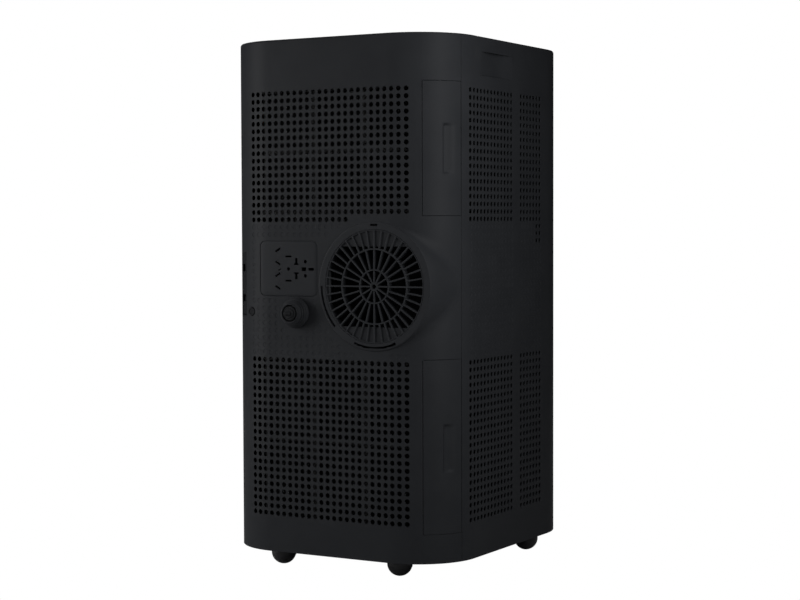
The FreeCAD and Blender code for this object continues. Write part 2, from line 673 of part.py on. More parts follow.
def exhaust_grille():
    """A shallow cup whose floor has the air opening, with spokes and rings over it."""
    face = f"({HALF_Y} + dims.exhaust_proud - 0.3)"
    back = f"({face} - dims.grille_depth)"
    bars = f"({face} - dims.grille_bar_depth)"
    rim = ring("grille_rim", back, "dims.grille_radius", "dims.grille_radius - dims.grille_rim",
               "dims.grille_depth")
    floor = cylinder("grille_floor", "y", "dims.exhaust_x",
                     f"{face} - dims.grille_floor_depth - dims.wall", "dims.exhaust_z",
                     "dims.grille_radius - dims.grille_rim / 2", "dims.wall")
    window = box("grille_window", "dims.exhaust_x - dims.grille_radius", f"{back} - 5",
                 "dims.grille_open_bottom",
                 "dims.grille_open_x - dims.exhaust_x + dims.grille_radius", "20",
                 "dims.grille_open_top - dims.grille_open_bottom")
    reach = cylinder("grille_reach", "y", "dims.exhaust_x", f"{back} - 5", "dims.exhaust_z",
                     "dims.grille_radius - dims.grille_rim", "20")
    floor = cut("grille_floor_open", floor, common("grille_window_round", window, reach))
    half = "dims.grille_bar / 2"
    rings = [
        ring("grille_inner", bars, f"dims.grille_inner_ring + {half}",
             f"dims.grille_inner_ring - {half}", "dims.grille_bar_depth"),
        ring("grille_outer", bars, f"dims.grille_outer_ring + {half}",
             f"dims.grille_outer_ring - {half}", "dims.grille_bar_depth"),
        ring("grille_hub", bars, "dims.grille_hub", "dims.grille_hub_hole",
             "dims.grille_bar_depth"),
    ]
    zones = ((12, "dims.grille_hub - 0.5", "dims.grille_inner_ring"),
             (24, "dims.grille_inner_ring", "dims.grille_outer_ring"),
             (40, "dims.grille_outer_ring", "dims.grille_radius - dims.grille_rim / 2"))
    spokes = []
    for count, inner, outer in zones:
        length = val(f"{outer} - ({inner})")
        for number in range(count):
            spoke = Part.makeBox(length, val("dims.grille_bar_depth"), val("dims.grille_bar"),
                                 Vector(val(inner), 0, -val(half)))
            spoke.rotate(Vector(), Vector(0, 1, 0), 360 * number / count)
            spokes.append(spoke)
    wheel = spokes[0].multiFuse(spokes[1:])
    wheel.translate(Vector(val("dims.exhaust_x"), val(bars), val("dims.exhaust_z")))
    wheel = feature("grille_spokes", wheel)
    publish(fuse("exhaust_grille", rim, floor, wheel, *rings), "exhaust_grille")


def exhaust_duct():
    """The box that leads the warm air from the lower blower to the outlet."""
    back = f"({HALF_Y} + dims.exhaust_proud - dims.grille_depth - 2)"
    outside = box("duct_outside", "-150", "dims.scroll_y", "314", "147", f"{back} - dims.scroll_y",
                  "150")
    room = box("duct_room", "-148", "dims.scroll_y + 2", "300", "143", f"{back} + 20", "162")
    trim = casing_block("duct_trim", "dims.wall + 1", "dims.body_bottom", HEIGHT)
    outside = common("duct_trimmed", outside, trim)
    publish(cut("exhaust_duct", outside, room), "exhaust_duct")


def start_of_spigot():
    return f"({HALF_Y} - dims.spigot_setback)"


def drain_port():
    x, z = "dims.drain_x", "dims.drain_z"
    start = start_of_spigot()
    tube = cylinder("spigot_tube", "y", x, start, z, "dims.spigot_radius", "dims.spigot_length")
    flange = cylinder("spigot_flange", "y", x, f"{HALF_Y} - dims.wall - dims.fit_gap - 3", z,
                      "dims.spigot_radius + 6", "3")
    bore = cylinder("spigot_way", "y", x, start, z, "dims.spigot_bore", "dims.spigot_length")
    publish(cut("drain_spigot", fuse("spigot_body", tube, flange), bore), "drain_spigot")

    seat = f"({HALF_Y} + dims.fit_gap)"
    washer = cylinder("washer_disc", "y", x, seat, z, "dims.collar_radius - 1",
                      "dims.washer_thickness")
    clear = cylinder("washer_hole", "y", x, seat, z, "dims.spigot_radius + dims.fit_gap",
                     "dims.washer_thickness")
    publish(cut("drain_washer", washer, clear), "drain_washer")

    body = new_body("drain_collar")
    base = f"({seat} + dims.washer_thickness)"
    tip = f"({base} + dims.collar_length)"
    band = f"({base} + dims.collar_band)"
    axis = next(item for item in body.Origin.OriginFeatures if item.Role == "Y_Axis")
    sketch = sketch_on(body, "XY_Plane")
    bore = "(dims.spigot_radius + dims.fit_gap)"
    slope = ("((dims.collar_radius - dims.collar_front_radius - 1)"
             " / (dims.collar_length - dims.collar_band))")
    points = [(bore, base), ("dims.collar_radius", base), ("dims.collar_radius", band)]
    for number in range(int(val("dims.rib_count"))):
        start = f"({band} + 0.6 + {number} * dims.rib_pitch)"
        radius = f"(dims.collar_radius - 0.4 - {slope} * ({start} - {band}))"
        points += [(f"{radius} - dims.rib_depth", start),
                   (f"{radius} - dims.rib_depth", f"{start} + 1"),
                   (radius, f"{start} + 1.4"), (f"{radius} - 0.5", f"{start} + 2.6")]
    points += [("dims.collar_front_radius", f"{tip} - 0.8"),
               ("dims.collar_front_radius - 0.8", tip), (bore, tip)]
    outline(sketch, points)
    spin = body.newObject("PartDesign::Revolution", "collar_turned")
    spin.Profile = sketch
    spin.ReferenceAxis = (axis, [""])
    spin.Angle = 360
    place(body, x, 0, z)
    publish(body, "drain_collar")

    shoulder = f"({start_of_spigot()} + dims.spigot_length + 0.1)"
    stem = cylinder("stopper_stem", "y", x, f"{shoulder} - dims.stopper_length", z,
                    "dims.spigot_bore - dims.stopper_fit", "dims.stopper_length")
    head = cylinder("stopper_disc", "y", x, shoulder, z, "dims.stopper_head_radius",
                    "dims.stopper_head")
    top = f"({shoulder} + dims.stopper_head)"
    nub = cone("stopper_pull", "y", x, top, z, "dims.stopper_nub", "dims.stopper_tip",
               f"{HALF_Y} + dims.stopper_reach - {top}")
    publish(fuse("drain_plug", stem, head, nub), "drain_plug")


def cord_gland():
    """The grommet that the mains cord leaves by."""
    over = f"(dims.gland_x - {ARC_X})"
    surface = f"({ARC_Y} + sqrt(dims.corner_radius * dims.corner_radius - {over} * {over}))"
    x, z = "dims.gland_x", "dims.gland_z"
    start = f"({surface} - dims.gland_depth)"
    tube = cylinder("gland_tube", "y", x, start, z, "dims.gland_radius", "dims.gland_depth")
    lip = cone("gland_lip", "y", x, surface, z, "dims.gland_radius", "dims.gland_radius - 1.5",
               "dims.gland_lip")
    bore = cylinder("gland_way", "y", x, start, z, "dims.gland_bore",
                    "dims.gland_depth + dims.gland_lip")
    publish(cut("cord_gland", fuse("gland_blank", tube, lip), bore), "cord_gland")


# ---- filters -------------------------------------------------------------------------------

def side_screens():
    """Thin felt pads behind the perforated areas of both sides."""
    pads = []
    face = f"({HALF_X} - dims.wall - dims.screen_gap)"
    length = "dims.screen_rear_y - dims.screen_front_y"
    for side, x in (("left", f"-{face}"), ("right", f"{face} - dims.screen_thickness")):
        for level in ("upper", "lower"):
            low, high = f"dims.screen_{level}_bottom", f"dims.screen_{level}_top"
            pads.append(box(f"screen_{side}_{level}", x, "dims.screen_front_y", low,
                            "dims.screen_thickness", length, f"{high} - {low}"))
    publish(group("side_screens", *pads), "side_screens")


def filter_set(name, bottom, top):
    """A slide-out filter: its curved tab, its frame and its mesh."""
    low, high = f"({bottom} + dims.tab_gap)", f"({top} - dims.tab_gap)"
    wedge = new_body(f"{name}_wedge")
    sketch = sketch_on(wedge, "XY_Plane", low)
    seam_y = f"({ARC_Y} + dims.corner_radius * cos(dims.seam_angle) + dims.tab_gap)"
    start = "(dims.tab_angle + 0.3)"
    outer, inner = "dims.corner_radius", "(dims.corner_radius - dims.wall)"
    points = []
    for radius in (outer, inner):
        along = f"sqrt({radius} * {radius} - ({seam_y} - {ARC_Y}) * ({seam_y} - {ARC_Y}))"
        points.append((f"-({ARC_X} + {along})", seam_y))
    start_outer = (f"-({ARC_X} + {outer} * sin({start}))", f"{ARC_Y} + {outer} * cos({start})")
    start_inner = (f"-({ARC_X} + {inner} * sin({start}))", f"{ARC_Y} + {inner} * cos({start})")
    centre = (f"-{ARC_X}", ARC_Y)
    outline(sketch, [start_outer, points[0], points[1], start_inner],
            {0: (centre, outer, True), 2: (centre, inner, False)})
    pad(wedge, sketch, f"{high} - {low}")

    middle = "((dims.grip_start + dims.grip_end) / 2)"
    grip_low = f"({bottom} + ({top} - {bottom}) * 0.34)"
    grip_high = f"({grip_low} + 62)"
    floor = f"({outer} - dims.grip_depth)"
    wide = f"({outer} * (dims.grip_end - dims.grip_start) * pi / 180)"
    shell = box(f"{name}_grip_shell", f"-({ARC_X} + {wide} / 2 + 2)",
                f"{ARC_Y} + {floor} - 2", f"{grip_low} - 2", f"{wide} + 4",
                "dims.grip_depth", f"{grip_high} - {grip_low} + 4")
    room = box(f"{name}_grip_room", f"-({ARC_X} + {wide} / 2)", f"{ARC_Y} + {floor}", grip_low,
               wide, "20", f"{grip_high} - {grip_low}")
    for item in (shell, room):
        turn(item, Vector(0, 0, 1), val(middle), (-val(ARC_X), val(ARC_Y), 0))
    ears = []
    for number, z in enumerate((f"{low} + 14", f"{high} - 26"), start=1):
        ears.append(box(f"{name}_ear_{number}", "-145", "dims.filter_y + 1", z,
                        "145 + dims.filter_left", "dims.filter_thickness - 2", "12"))
    tab = cut(f"{name}_tab", fuse(f"{name}_tab_blank", wedge, shell, *ears), room)
    publish(tab, f"{name}_tab")

    frame = new_body(f"{name}_frame")
    sketch = sketch_on(frame, "XZ_Plane", "-dims.filter_y")
    long = "(dims.filter_right - dims.filter_left)"
    mid_x = "((dims.filter_right + dims.filter_left) / 2)"
    mid_z, tall = f"({low} + {high}) / 2", f"({high} - {low} - 4)"
    rectangle(sketch, mid_x, mid_z, long, tall)
    pad(frame, sketch, "dims.filter_thickness", reverse=True)
    bays = sketch_on(frame, "XZ_Plane", "-dims.filter_y")
    for bay in range(3):
        x = f"(dims.filter_left + dims.filter_bar / 2 + ({bay} + 0.5) * {long_bay()})"
        for level in (-1, 1):
            z = f"({mid_z} + {level} * ({tall} - dims.filter_bar) / 4)"
            rectangle(bays, x, z, f"{long_bay()} - dims.filter_bar",
                      f"({tall} - dims.filter_bar) / 2 - dims.filter_bar")
    pocket(frame, bays, "dims.filter_thickness")
    publish(frame, f"{name}_frame")

    panels = []
    for bay in range(3):
        for level in (0, 1):
            x = f"dims.filter_left + dims.filter_bar + {bay} * {long_bay()}"
            z = f"{mid_z} - {tall} / 2 + dims.filter_bar + {level} * ({tall} - dims.filter_bar) / 2"
            panels.append(box(f"{name}_mesh_{bay}{level}", x, "dims.filter_y + 3", z,
                              f"{long_bay()} - dims.filter_bar", "0.8",
                              f"({tall} - dims.filter_bar) / 2 - dims.filter_bar"))
    publish(group(f"{name}_mesh", *panels), f"{name}_mesh")


def long_bay():
    return "((dims.filter_right - dims.filter_left - dims.filter_bar) / 3)"


def filter_guides():
    """Four channels that the filters' edges run in."""
    rails = []
    start, length = "dims.filter_left - 3", "dims.filter_right - dims.filter_left + 10"
    gap, wall = "dims.slide_gap", "dims.rail_wall"
    wide = f"(dims.filter_thickness + 2 * {gap} + 2 * {wall})"
    edges = (("dims.upper_tab_bottom", 1), ("dims.upper_tab_top", -1),
             ("dims.lower_tab_bottom", 1), ("dims.lower_tab_top", -1))
    for number, (edge, way) in enumerate(edges):
        end = f"({edge} + {way} * (dims.tab_gap + 2 - {gap}))"
        low = f"({end} - {wall})" if way > 0 else f"({end} - 6)"
        rail = box(f"rail_{number}", start, f"dims.filter_y - {gap} - {wall}", low, length, wide,
                   f"6 + {wall}")
        slot = box(f"rail_slot_{number}", f"{start} - 1", f"dims.filter_y - {gap}",
                   end if way > 0 else f"({end} - 7)", f"{length} + 2",
                   f"dims.filter_thickness + 2 * {gap}", "7")
        rails.append(cut(f"rail_channel_{number}", rail, slot))
    publish(group("filter_guides", *rails), "filter_guides")


# ---- air outlet ----------------------------------------------------------------------------

BLADE_Y = f"(-{HALF_Y} + dims.blade_inset)"
VANE_Y = f"(-{HALF_Y} + dims.vane_inset)"
OUTLET_MIDDLE = "((dims.outlet_top + dims.outlet_bottom) / 2)"
PIN_HOLE = "(dims.pin_radius + dims.pin_fit)"


def blade_z(number):
    return f"({OUTLET_MIDDLE} + ({number} - (dims.blade_count - 1) / 2) * dims.blade_pitch)"


def vane_x(number):
    return f"(({number} - (dims.vane_count - 1) / 2) * dims.vane_pitch)"


def outlet_frame():
    """The duct behind the front opening, with bearings for the blades and vanes."""
    gap, wall = "dims.fit_gap", "dims.outlet_wall"
    left = f"-dims.outlet_width / 2 + {gap}"
    wide = f"dims.outlet_width - 2 * {gap}"
    low = f"dims.outlet_bottom + {gap}"
    tall = f"dims.outlet_top - dims.outlet_bottom - 2 * {gap}"
    front = f"-{HALF_Y} + 0.6"
    outside = box("outlet_outside", left, front, low, wide, "dims.outlet_depth", tall)
    room = box("outlet_room", f"{left} + {wall}", f"{front} - 1", f"{low} + {wall}",
               f"{wide} - 2 * {wall}", "dims.outlet_depth + 2", f"{tall} - 2 * {wall}")
    bearings = [
        cylinder(f"blade_bearing_{number}", "x", "-dims.outlet_width", BLADE_Y, blade_z(number),
                 PIN_HOLE, "2 * dims.outlet_width")
        for number in range(int(val("dims.blade_count")))
    ]
    bearings += [
        cylinder(f"vane_bearing_{number}", "z", vane_x(number), VANE_Y,
                 "dims.outlet_bottom - 5", PIN_HOLE, "dims.outlet_top - dims.outlet_bottom + 10")
        for number in range(int(val("dims.vane_count")))
    ]
    publish(cut("outlet_frame", outside, room, *bearings), "outlet_frame")


def louvre_blade(number):
    """One horizontal blade, closed at rest, with a pin at each end."""
    reach = "(dims.outlet_width / 2 - dims.fit_gap - dims.outlet_wall - dims.slide_gap)"
    z = blade_z(number)
    leaf = box(f"leaf_{number}", f"-{reach}", f"{BLADE_Y} - dims.blade_thickness / 2",
               f"{z} - dims.blade_chord / 2", f"2 * {reach}", "dims.blade_thickness",
               "dims.blade_chord")
    barrel = cylinder(f"leaf_barrel_{number}", "x", f"-{reach}", BLADE_Y, z,
                      "dims.pin_radius + 0.8", f"2 * {reach}")
    pin = cylinder(f"leaf_pin_{number}", "x", f"-{reach} - dims.slide_gap - 2", BLADE_Y, z,
                   "dims.pin_radius", f"2 * ({reach} + dims.slide_gap + 2)")
    publish(fuse(f"louvre_blade_{number + 1}", leaf, barrel, pin), f"louvre_blade_{number + 1}")


def vane(number):
    """One upright vane behind the blades, with a pin at each end."""
    low = "(dims.outlet_bottom + dims.fit_gap + dims.outlet_wall + dims.slide_gap)"
    high = "(dims.outlet_top - dims.fit_gap - dims.outlet_wall - dims.slide_gap)"
    x = vane_x(number)
    leaf = box(f"vane_leaf_{number}", f"{x} - 1", f"{VANE_Y} - dims.vane_chord / 2", low, "2",
               "dims.vane_chord", f"{high} - {low}")
    pin = cylinder(f"vane_pin_{number}", "z", x, VANE_Y, f"{low} - dims.slide_gap - 2",
                   "dims.pin_radius", f"{high} - {low} + 2 * (dims.slide_gap + 2)")
    publish(fuse(f"vane_{number + 1}", leaf, pin), f"vane_{number + 1}")


# ---- controls ------------------------------------------------------------------------------

def button_x(number):
    return f"(({number} - (dims.button_count - 1) / 2) * dims.button_pitch)"


def control_panel():
    body = new_body("control_panel")
    top = "dims.body_top - dims.top_inset + 0.6"
    sketch = sketch_on(body, "XY_Plane", top)
    rounded_rectangle(sketch, "0", "dims.panel_y", "dims.panel_width", "dims.panel_depth", "6")
    pad(body, sketch, "3.6", reverse=True)
    holes = sketch_on(body, "XY_Plane", top)
    for number in range(int(val("dims.button_count"))):
        circle(holes, button_x(number), "dims.button_y", "dims.button_radius + dims.fit_gap")
    rectangle(holes, "0", "dims.window_y", "dims.window_width", "dims.window_depth")
    pocket(body, holes, "3.6")
    publish(body, "control_panel")

    pane = box("pane", "-dims.window_width / 2 + 0.1",
               "dims.window_y - dims.window_depth / 2 + 0.1", f"{top} - 3.4",
               "dims.window_width - 0.2", "dims.window_depth - 0.2", "3")
    publish(pane, "display_window")

    board = box("board", "-dims.panel_width / 2 + 6", "dims.panel_y - dims.panel_depth / 2 + 5",
                f"{top} - 14", "dims.panel_width - 12", "dims.panel_depth - 10", "1.6")
    publish(board, "control_board")


def control_button(number):
    """A round key on a thin stem that presses the board's switch."""
    top = "(dims.body_top - dims.top_inset + 0.6)"
    cap = cylinder(f"key_cap_{number}", "z", button_x(number), "dims.button_y", f"{top} - 5",
                   "dims.button_radius", "6.2")
    stem = cylinder(f"key_stem_{number}", "z", button_x(number), "dims.button_y", f"{top} - 10.8",
                    "1.5", "6")
    publish(fuse(f"control_button_{number + 1}", cap, stem), f"control_button_{number + 1}")


# ---- casters and base ------------------------------------------------------------------------

CASTERS = (
    ("rear_left", "-dims.rear_caster_x", "dims.rear_caster_y", 30),
    ("rear_right", "dims.rear_caster_x", "dims.rear_caster_y", 30),
    ("front_left", "-dims.front_caster_x", "dims.front_caster_y", 210),
    ("front_right", "dims.front_caster_x", "dims.front_caster_y", 30),
)


def base_pan():
    """A tray inside the casing's foot, with a well and a socket over each caster."""
    body = new_body("pan_blank")
    inset = "(dims.wall + dims.fit_gap)"
    bottom = "(dims.body_bottom + 1)"
    sketch = sketch_on(body, "XY_Plane", bottom)
    plan = (f"dims.casing_width - 2 * {inset}", f"dims.casing_depth - 2 * {inset}",
            f"dims.corner_radius - {inset}")
    rounded_rectangle(sketch, "0", "0", *plan)
    pad(body, sketch, f"dims.pan_rim - {bottom}")
    room = sketch_on(body, "XY_Plane", f"{bottom} + dims.pan_floor")
    rounded_rectangle(room, "0", "0", *(f"{size} - {thick}" for size, thick in
                                        zip(plan, ("5", "5", "2.5"))))
    pocket(body, room, f"dims.pan_rim - {bottom}", reverse=True)
    humps, rooms = [], []
    for name, x, y, _ in CASTERS:
        humps.append(cylinder(f"hump_{name}", "z", x, y, bottom, "dims.well_radius + 2.5",
                              "dims.well_top + 2.5 + 20 - dims.body_bottom - 1"))
        rooms.append(cylinder(f"well_{name}", "z", x, y, "dims.body_bottom - 5",
                              "dims.well_radius", "dims.well_top - dims.body_bottom + 5"))
        rooms.append(cylinder(f"socket_{name}", "z", x, y, "dims.body_bottom",
                              "dims.stem_radius + dims.pin_fit", "60"))
    trim = casing_block("hump_trim", "dims.wall + dims.fit_gap", "dims.body_bottom", HEIGHT)
    humps = common("humps_trimmed", group("humps", *humps), trim)
    publish(cut("base_pan", fuse("pan_with_humps", body, humps), *rooms), "base_pan")


BALL_Z = "sqrt(dims.ball_radius * dims.ball_radius - dims.ball_gap * dims.ball_gap / 4)"


def caster(name, x, y, heading):
    """A ball caster: two half-balls on an axle through a fork that swivels on a stem."""
    ball, gap = "dims.ball_radius", "dims.ball_gap"
    along = math.radians(heading)
    wheel_x = f"({x} + dims.caster_trail * {math.cos(along):.4f})"
    wheel_y = f"({y} + dims.caster_trail * {math.sin(along):.4f})"
    stem = cylinder(f"stem_{name}", "z", x, y, "dims.well_top - 3", "dims.stem_radius",
                    "dims.stem_height + 3")
    disc = cylinder(f"disc_{name}", "z", x, y, "dims.well_top - 3.4", "dims.stem_radius + 8",
                    "3")
    web = box(f"web_{name}", f"{x} - 8", f"{y} - dims.fork_thickness / 2", f"{ball} - 5",
              "dims.caster_trail + 14", "dims.fork_thickness", f"dims.well_top + 2 - {ball}")
    turn(web, Vector(0, 0, 1), heading, (val(x), val(y), 0))
    hole = cylinder(f"fork_hole_{name}", "y", "0", "-20", BALL_Z,
                    "dims.axle_radius + dims.pin_fit", "40")
    hole = swing(hole, wheel_x, wheel_y, heading)
    publish(cut(f"caster_yoke_{name}", fuse(f"yoke_{name}", stem, disc, web), hole),
            f"caster_yoke_{name}")

    sphere = doc.addObject("Part::Sphere", f"ball_{name}")
    bind(sphere, "Radius", ball)
    place(sphere, 0, 0, BALL_Z)
    slot = box(f"ball_slot_{name}", f"-{ball} - 1", f"-{gap} / 2", "-1", f"2 * {ball} + 2", gap,
               f"2 * {ball} + 2")
    axle = cylinder(f"axle_{name}", "y", "0", f"-{ball} + 4", BALL_Z, "dims.axle_radius",
                    f"2 * ({ball} - 4)")
    pair = fuse(f"caster_ball_{name}", cut(f"half_balls_{name}", sphere, slot), axle)
    swing(pair, wheel_x, wheel_y, heading)
    publish(pair, f"caster_ball_{name}")


def swing(item, x, y, heading):
    """Turns a piece made about the Z axis and carries it to a caster's ball."""
    doc.recompute()
    base = item.Placement
    for path, _ in item.ExpressionEngine:
        if "Placement" in path:
            item.setExpression(path, None)
    move = FreeCAD.Placement(Vector(val(x), val(y), 0), FreeCAD.Rotation(Vector(0, 0, 1), heading))
    item.Placement = move.multiply(base)
    return item


# ---- machinery -------------------------------------------------------------------------------

def middle_deck():
    """The floor of the evaporator's room, which also catches its condensate."""
    body = new_body("middle_deck")
    inset = "(dims.wall + 2)"
    sketch = sketch_on(body, "XY_Plane", "dims.deck_z")
    plan = (f"dims.casing_width - 2 * {inset}", f"dims.casing_depth - 2 * {inset}",
            f"dims.corner_radius - {inset}")
    rounded_rectangle(sketch, "0", "-14", plan[0], f"{plan[1]} - 28", plan[2])
    pad(body, sketch, "dims.deck_rim")
    room = sketch_on(body, "XY_Plane", "dims.deck_z + dims.deck_thickness")
    rounded_rectangle(room, "0", "-14", f"{plan[0]} - 5", f"{plan[1]} - 33", f"{plan[2]} - 2.5")
    pocket(body, room, "dims.deck_rim", reverse=True)
    ways = sketch_on(body, "XY_Plane", "dims.deck_z + dims.deck_rim")
    for x, y in (("132", "140"), ("142", "110")):
        circle(ways, x, y, "dims.tube_radius + 2")
    pocket(body, ways, "dims.deck_rim + 5")
    publish(body, "middle_deck")


def coil(name, bottom, top):
    """Fins between two end plates, with return bends at the ends."""
    fins = []
    pitch, thick = val("dims.fin_pitch"), val("dims.fin_thickness")
    left, right = val("dims.coil_left"), val("dims.coil_right")
    low, high = val(bottom), val(top)
    y, depth = val("dims.coil_y"), val("dims.coil_depth")
    for number in range(int((right - left) / pitch) + 1):
        fins.append(Part.makeBox(thick, depth, high - low, Vector(left + number * pitch, y, low)))
    reach = val("dims.tube_radius")
    rows = int((high - low) / 25)
    end = left + int((right - left) / pitch) * pitch + thick
    tubes = []
    for number in range(rows):
        z = low + 12.5 + number * 25
        tubes.append(Part.makeCylinder(reach, end - left + 12, Vector(left - 6, y + depth / 2, z),
                                       Vector(1, 0, 0)))
    bends = []
    for number in range(rows - 1):
        x = left - 10 if number % 2 == 0 else end + 6
        z = low + 12.5 + number * 25
        bends.append(Part.makeBox(4, 2 * reach, 25, Vector(x, y + depth / 2 - reach, z)))
    whole = tubes[0].multiFuse(tubes[1:] + bends + fins)
    publish(feature(name, whole), name)


def scroll(name, x, z, radius):
    """A blower housing: a drum with an inlet at its rear and an outlet in its top."""
    wall = "dims.scroll_wall"
    y, depth = "dims.scroll_y", "dims.scroll_depth"
    drum = cylinder(f"{name}_drum", "y", x, y, z, radius, depth)
    neck = box(f"{name}_neck", f"{x} - {radius}", y, z, radius, depth, f"{radius} + 18")
    room = cylinder(f"{name}_room", "y", x, f"{y} + {wall}", z, f"{radius} - {wall}",
                    f"{depth} - 2 * {wall}")
    neck_room = box(f"{name}_neck_room", f"{x} - {radius} + {wall}", f"{y} + {wall}", z,
                    f"{radius} - 2 * {wall}", f"{depth} - 2 * {wall}", f"{radius} + 20")
    inlet = cylinder(f"{name}_inlet", "y", x, f"{y} + {depth} - 10", z, f"{radius} - 34", "20")
    hub = cylinder(f"{name}_hub_way", "y", x, f"{y} - 5", z, "14", "12")
    shell = cut(name, fuse(f"{name}_outside", drum, neck), room, neck_room, inlet, hub)
    publish(shell, name)


def fan(name, x, z, radius):
    """A drum impeller: back plate, hub, front ring and a row of blades."""
    body = new_body(name)
    start = "dims.fan_y"
    plate = sketch_on(body, "XZ_Plane", f"-({start})")
    circle(plate, "0", "0", radius)
    pad(body, plate, "2", reverse=True)
    hub = sketch_on(body, "XZ_Plane", f"-({start})")
    circle(hub, "0", "0", "11")
    pad(body, hub, "26", reverse=True)
    leaf = sketch_on(body, "XZ_Plane", f"-({start} + 2)")
    inner, outer = f"({radius} - 15)", f"({radius} - 1)"
    outline(leaf, [(inner, "-1"), (outer, "2.5"), (outer, "4.5"), (inner, "1")])
    blade = pad(body, leaf, "dims.fan_depth - 4", reverse=True)
    polar(body, blade, "Y_Axis", "dims.fan_blades")
    rim = sketch_on(body, "XZ_Plane", f"-({start} + dims.fan_depth - 4)")
    circle(rim, "0", "0", radius)
    circle(rim, "0", "0", f"{radius} - 15.5")
    pad(body, rim, "2.5", reverse=True)
    bore = sketch_on(body, "XZ_Plane", f"-({start} - 1)")
    circle(bore, "0", "0", "dims.shaft_radius + dims.pin_fit")
    pocket(body, bore, "dims.fan_depth")
    place(body, x, 0, z)
    publish(body, name)


def motor(name, x, z):
    """A fan motor whose shaft runs back into the impeller's hub."""
    start = "dims.scroll_y - dims.motor_length - 2"
    can = cylinder(f"{name}_can", "y", x, start, z, "dims.motor_radius", "dims.motor_length")
    nose = cylinder(f"{name}_nose", "y", x, start, z, "12", "dims.motor_length + 6")
    shaft = cylinder(f"{name}_shaft", "y", x, start, z, "dims.shaft_radius",
                     "dims.motor_length + 34")
    lugs = [
        box(f"{name}_lug_{side}", f"{x} - 8 + ({side} * (dims.motor_radius + 4))",
            "dims.scroll_y - 6", f"{z} - 8", "16", "6", "16")
        for side in (-1, 1)
    ]
    publish(fuse(name, can, nose, shaft, *lugs), name)


def compressor():
    x, y = "dims.compressor_x", "dims.compressor_y"
    low = "dims.compressor_bottom"
    can = cylinder("can_side", "z", x, y, f"{low} + 18", "dims.compressor_radius",
                   "dims.compressor_height - 46")
    top = cone("can_top", "z", x, y, f"{low} + dims.compressor_height - 28",
               "dims.compressor_radius", "dims.compressor_radius - 22", "20")
    bottom = cone("can_bottom", "z", x, y, f"{low} + 3", "dims.compressor_radius - 16",
                  "dims.compressor_radius", "15")
    foot = cylinder("can_foot", "z", x, y, low, "dims.mount_circle * 0.8", "3")
    arms, holes, mounts, bolts = [], [], [], []
    floor = "(dims.body_bottom + 1 + dims.pan_floor)"
    for number, degrees in enumerate((90, 210, 330)):
        c, s = math.cos(math.radians(degrees)), math.sin(math.radians(degrees))
        foot_x = f"({x} + dims.mount_circle * {c:.4f})"
        foot_y = f"({y} + dims.mount_circle * {s:.4f})"
        arms.append(cylinder(f"foot_{number}", "z", foot_x, foot_y, low, "12", "3"))
        holes.append(cylinder(f"foot_hole_{number}", "z", foot_x, foot_y, f"{low} - 1",
                              "3.4", "5"))
        rubber = cylinder(f"rubber_{number}", "z", foot_x, foot_y, floor, "dims.mount_radius",
                          f"{low} - {floor}")
        bore = cylinder(f"rubber_bore_{number}", "z", foot_x, foot_y, floor, "3.4",
                        f"{low} - {floor}")
        mounts.append(cut(f"rubber_foot_{number}", rubber, bore))
        stud = cylinder(f"stud_{number}", "z", foot_x, foot_y, floor, "3",
                        f"{low} - {floor} + 3")
        nut = cylinder(f"nut_{number}", "z", foot_x, foot_y, f"{low} + 3", "5.5", "5")
        bolts.append(fuse(f"bolt_{number}", stud, nut))
    publish(cut("compressor", fuse("can", can, top, bottom, foot, *arms), *holes), "compressor")
    publish(group("compressor_mounts", *mounts), "compressor_mounts")
    publish(group("compressor_bolts", *bolts), "compressor_bolts")


def bent_tube(points, radius, bend):
    """A tube along straight runs joined by tangent arcs."""
    spots = [Vector(*point) for point in points]
    edges = []
    last = spots[0]
    for before, corner, after in zip(spots, spots[1:], spots[2:]):
        into = (corner - before).normalize()
        out = (after - corner).normalize()
        trim = bend * math.tan(into.getAngle(out) / 2)
        start, end = corner - into * trim, corner + out * trim
        inward = (out - into).normalize()
        depth = bend / math.cos(into.getAngle(out) / 2) - bend
        edges.append(Part.LineSegment(last, start).toShape())
        edges.append(Part.Arc(start, corner + inward * depth, end).toShape())
        last = end
    edges.append(Part.LineSegment(last, spots[-1]).toShape())
    path = Part.Wire(edges)
    section = Part.Wire(Part.Circle(spots[0], spots[1] - spots[0], radius).toShape())
    return path.makePipeShell([section], True, False)


def refrigerant_pipes():
    """Hot gas to the lower coil, liquid up through the deck, and suction back down."""
    radius = val("dims.tube_radius")
    x, y = val("dims.compressor_x"), val("dims.compressor_y")
    top = val("dims.compressor_bottom + dims.compressor_height - 8")
    coil_end = 114.2
    coil_mid_y = val("dims.coil_y + dims.coil_depth / 2")
    hot = [(x, y, top), (x, y, top + 22), (135, y + 60, top + 22), (135, 110, top + 22),
           (135, coil_mid_y, 263.5), (coil_end, coil_mid_y, 263.5)]
    liquid = [(coil_end, coil_mid_y, 88.5), (132, coil_mid_y, 88.5), (132, 140, 120),
              (132, 140, 470), (132, coil_mid_y, 500.5), (coil_end, coil_mid_y, 500.5)]
    suction = [(coil_end, coil_mid_y, 625.5), (142, coil_mid_y, 625.5), (142, 110, 590),
               (142, 110, 340), (x + 20, y, top + 44), (x + 20, y, top)]
    tubes = [bent_tube(run, radius, 8) for run in (hot, liquid, suction)]
    publish(feature("refrigerant_pipes", Part.Compound(tubes)), "refrigerant_pipes")


def control_box():
    """The sheet-metal box for the electrics, open at its front."""
    outside = box("electrics_outside", "-138", "-178", "330", "130", "60", "120")
    room = box("electrics_room", "-136.5", "-179", "331.5", "127", "59.5", "117")
    publish(cut("control_box", outside, room), "control_box")


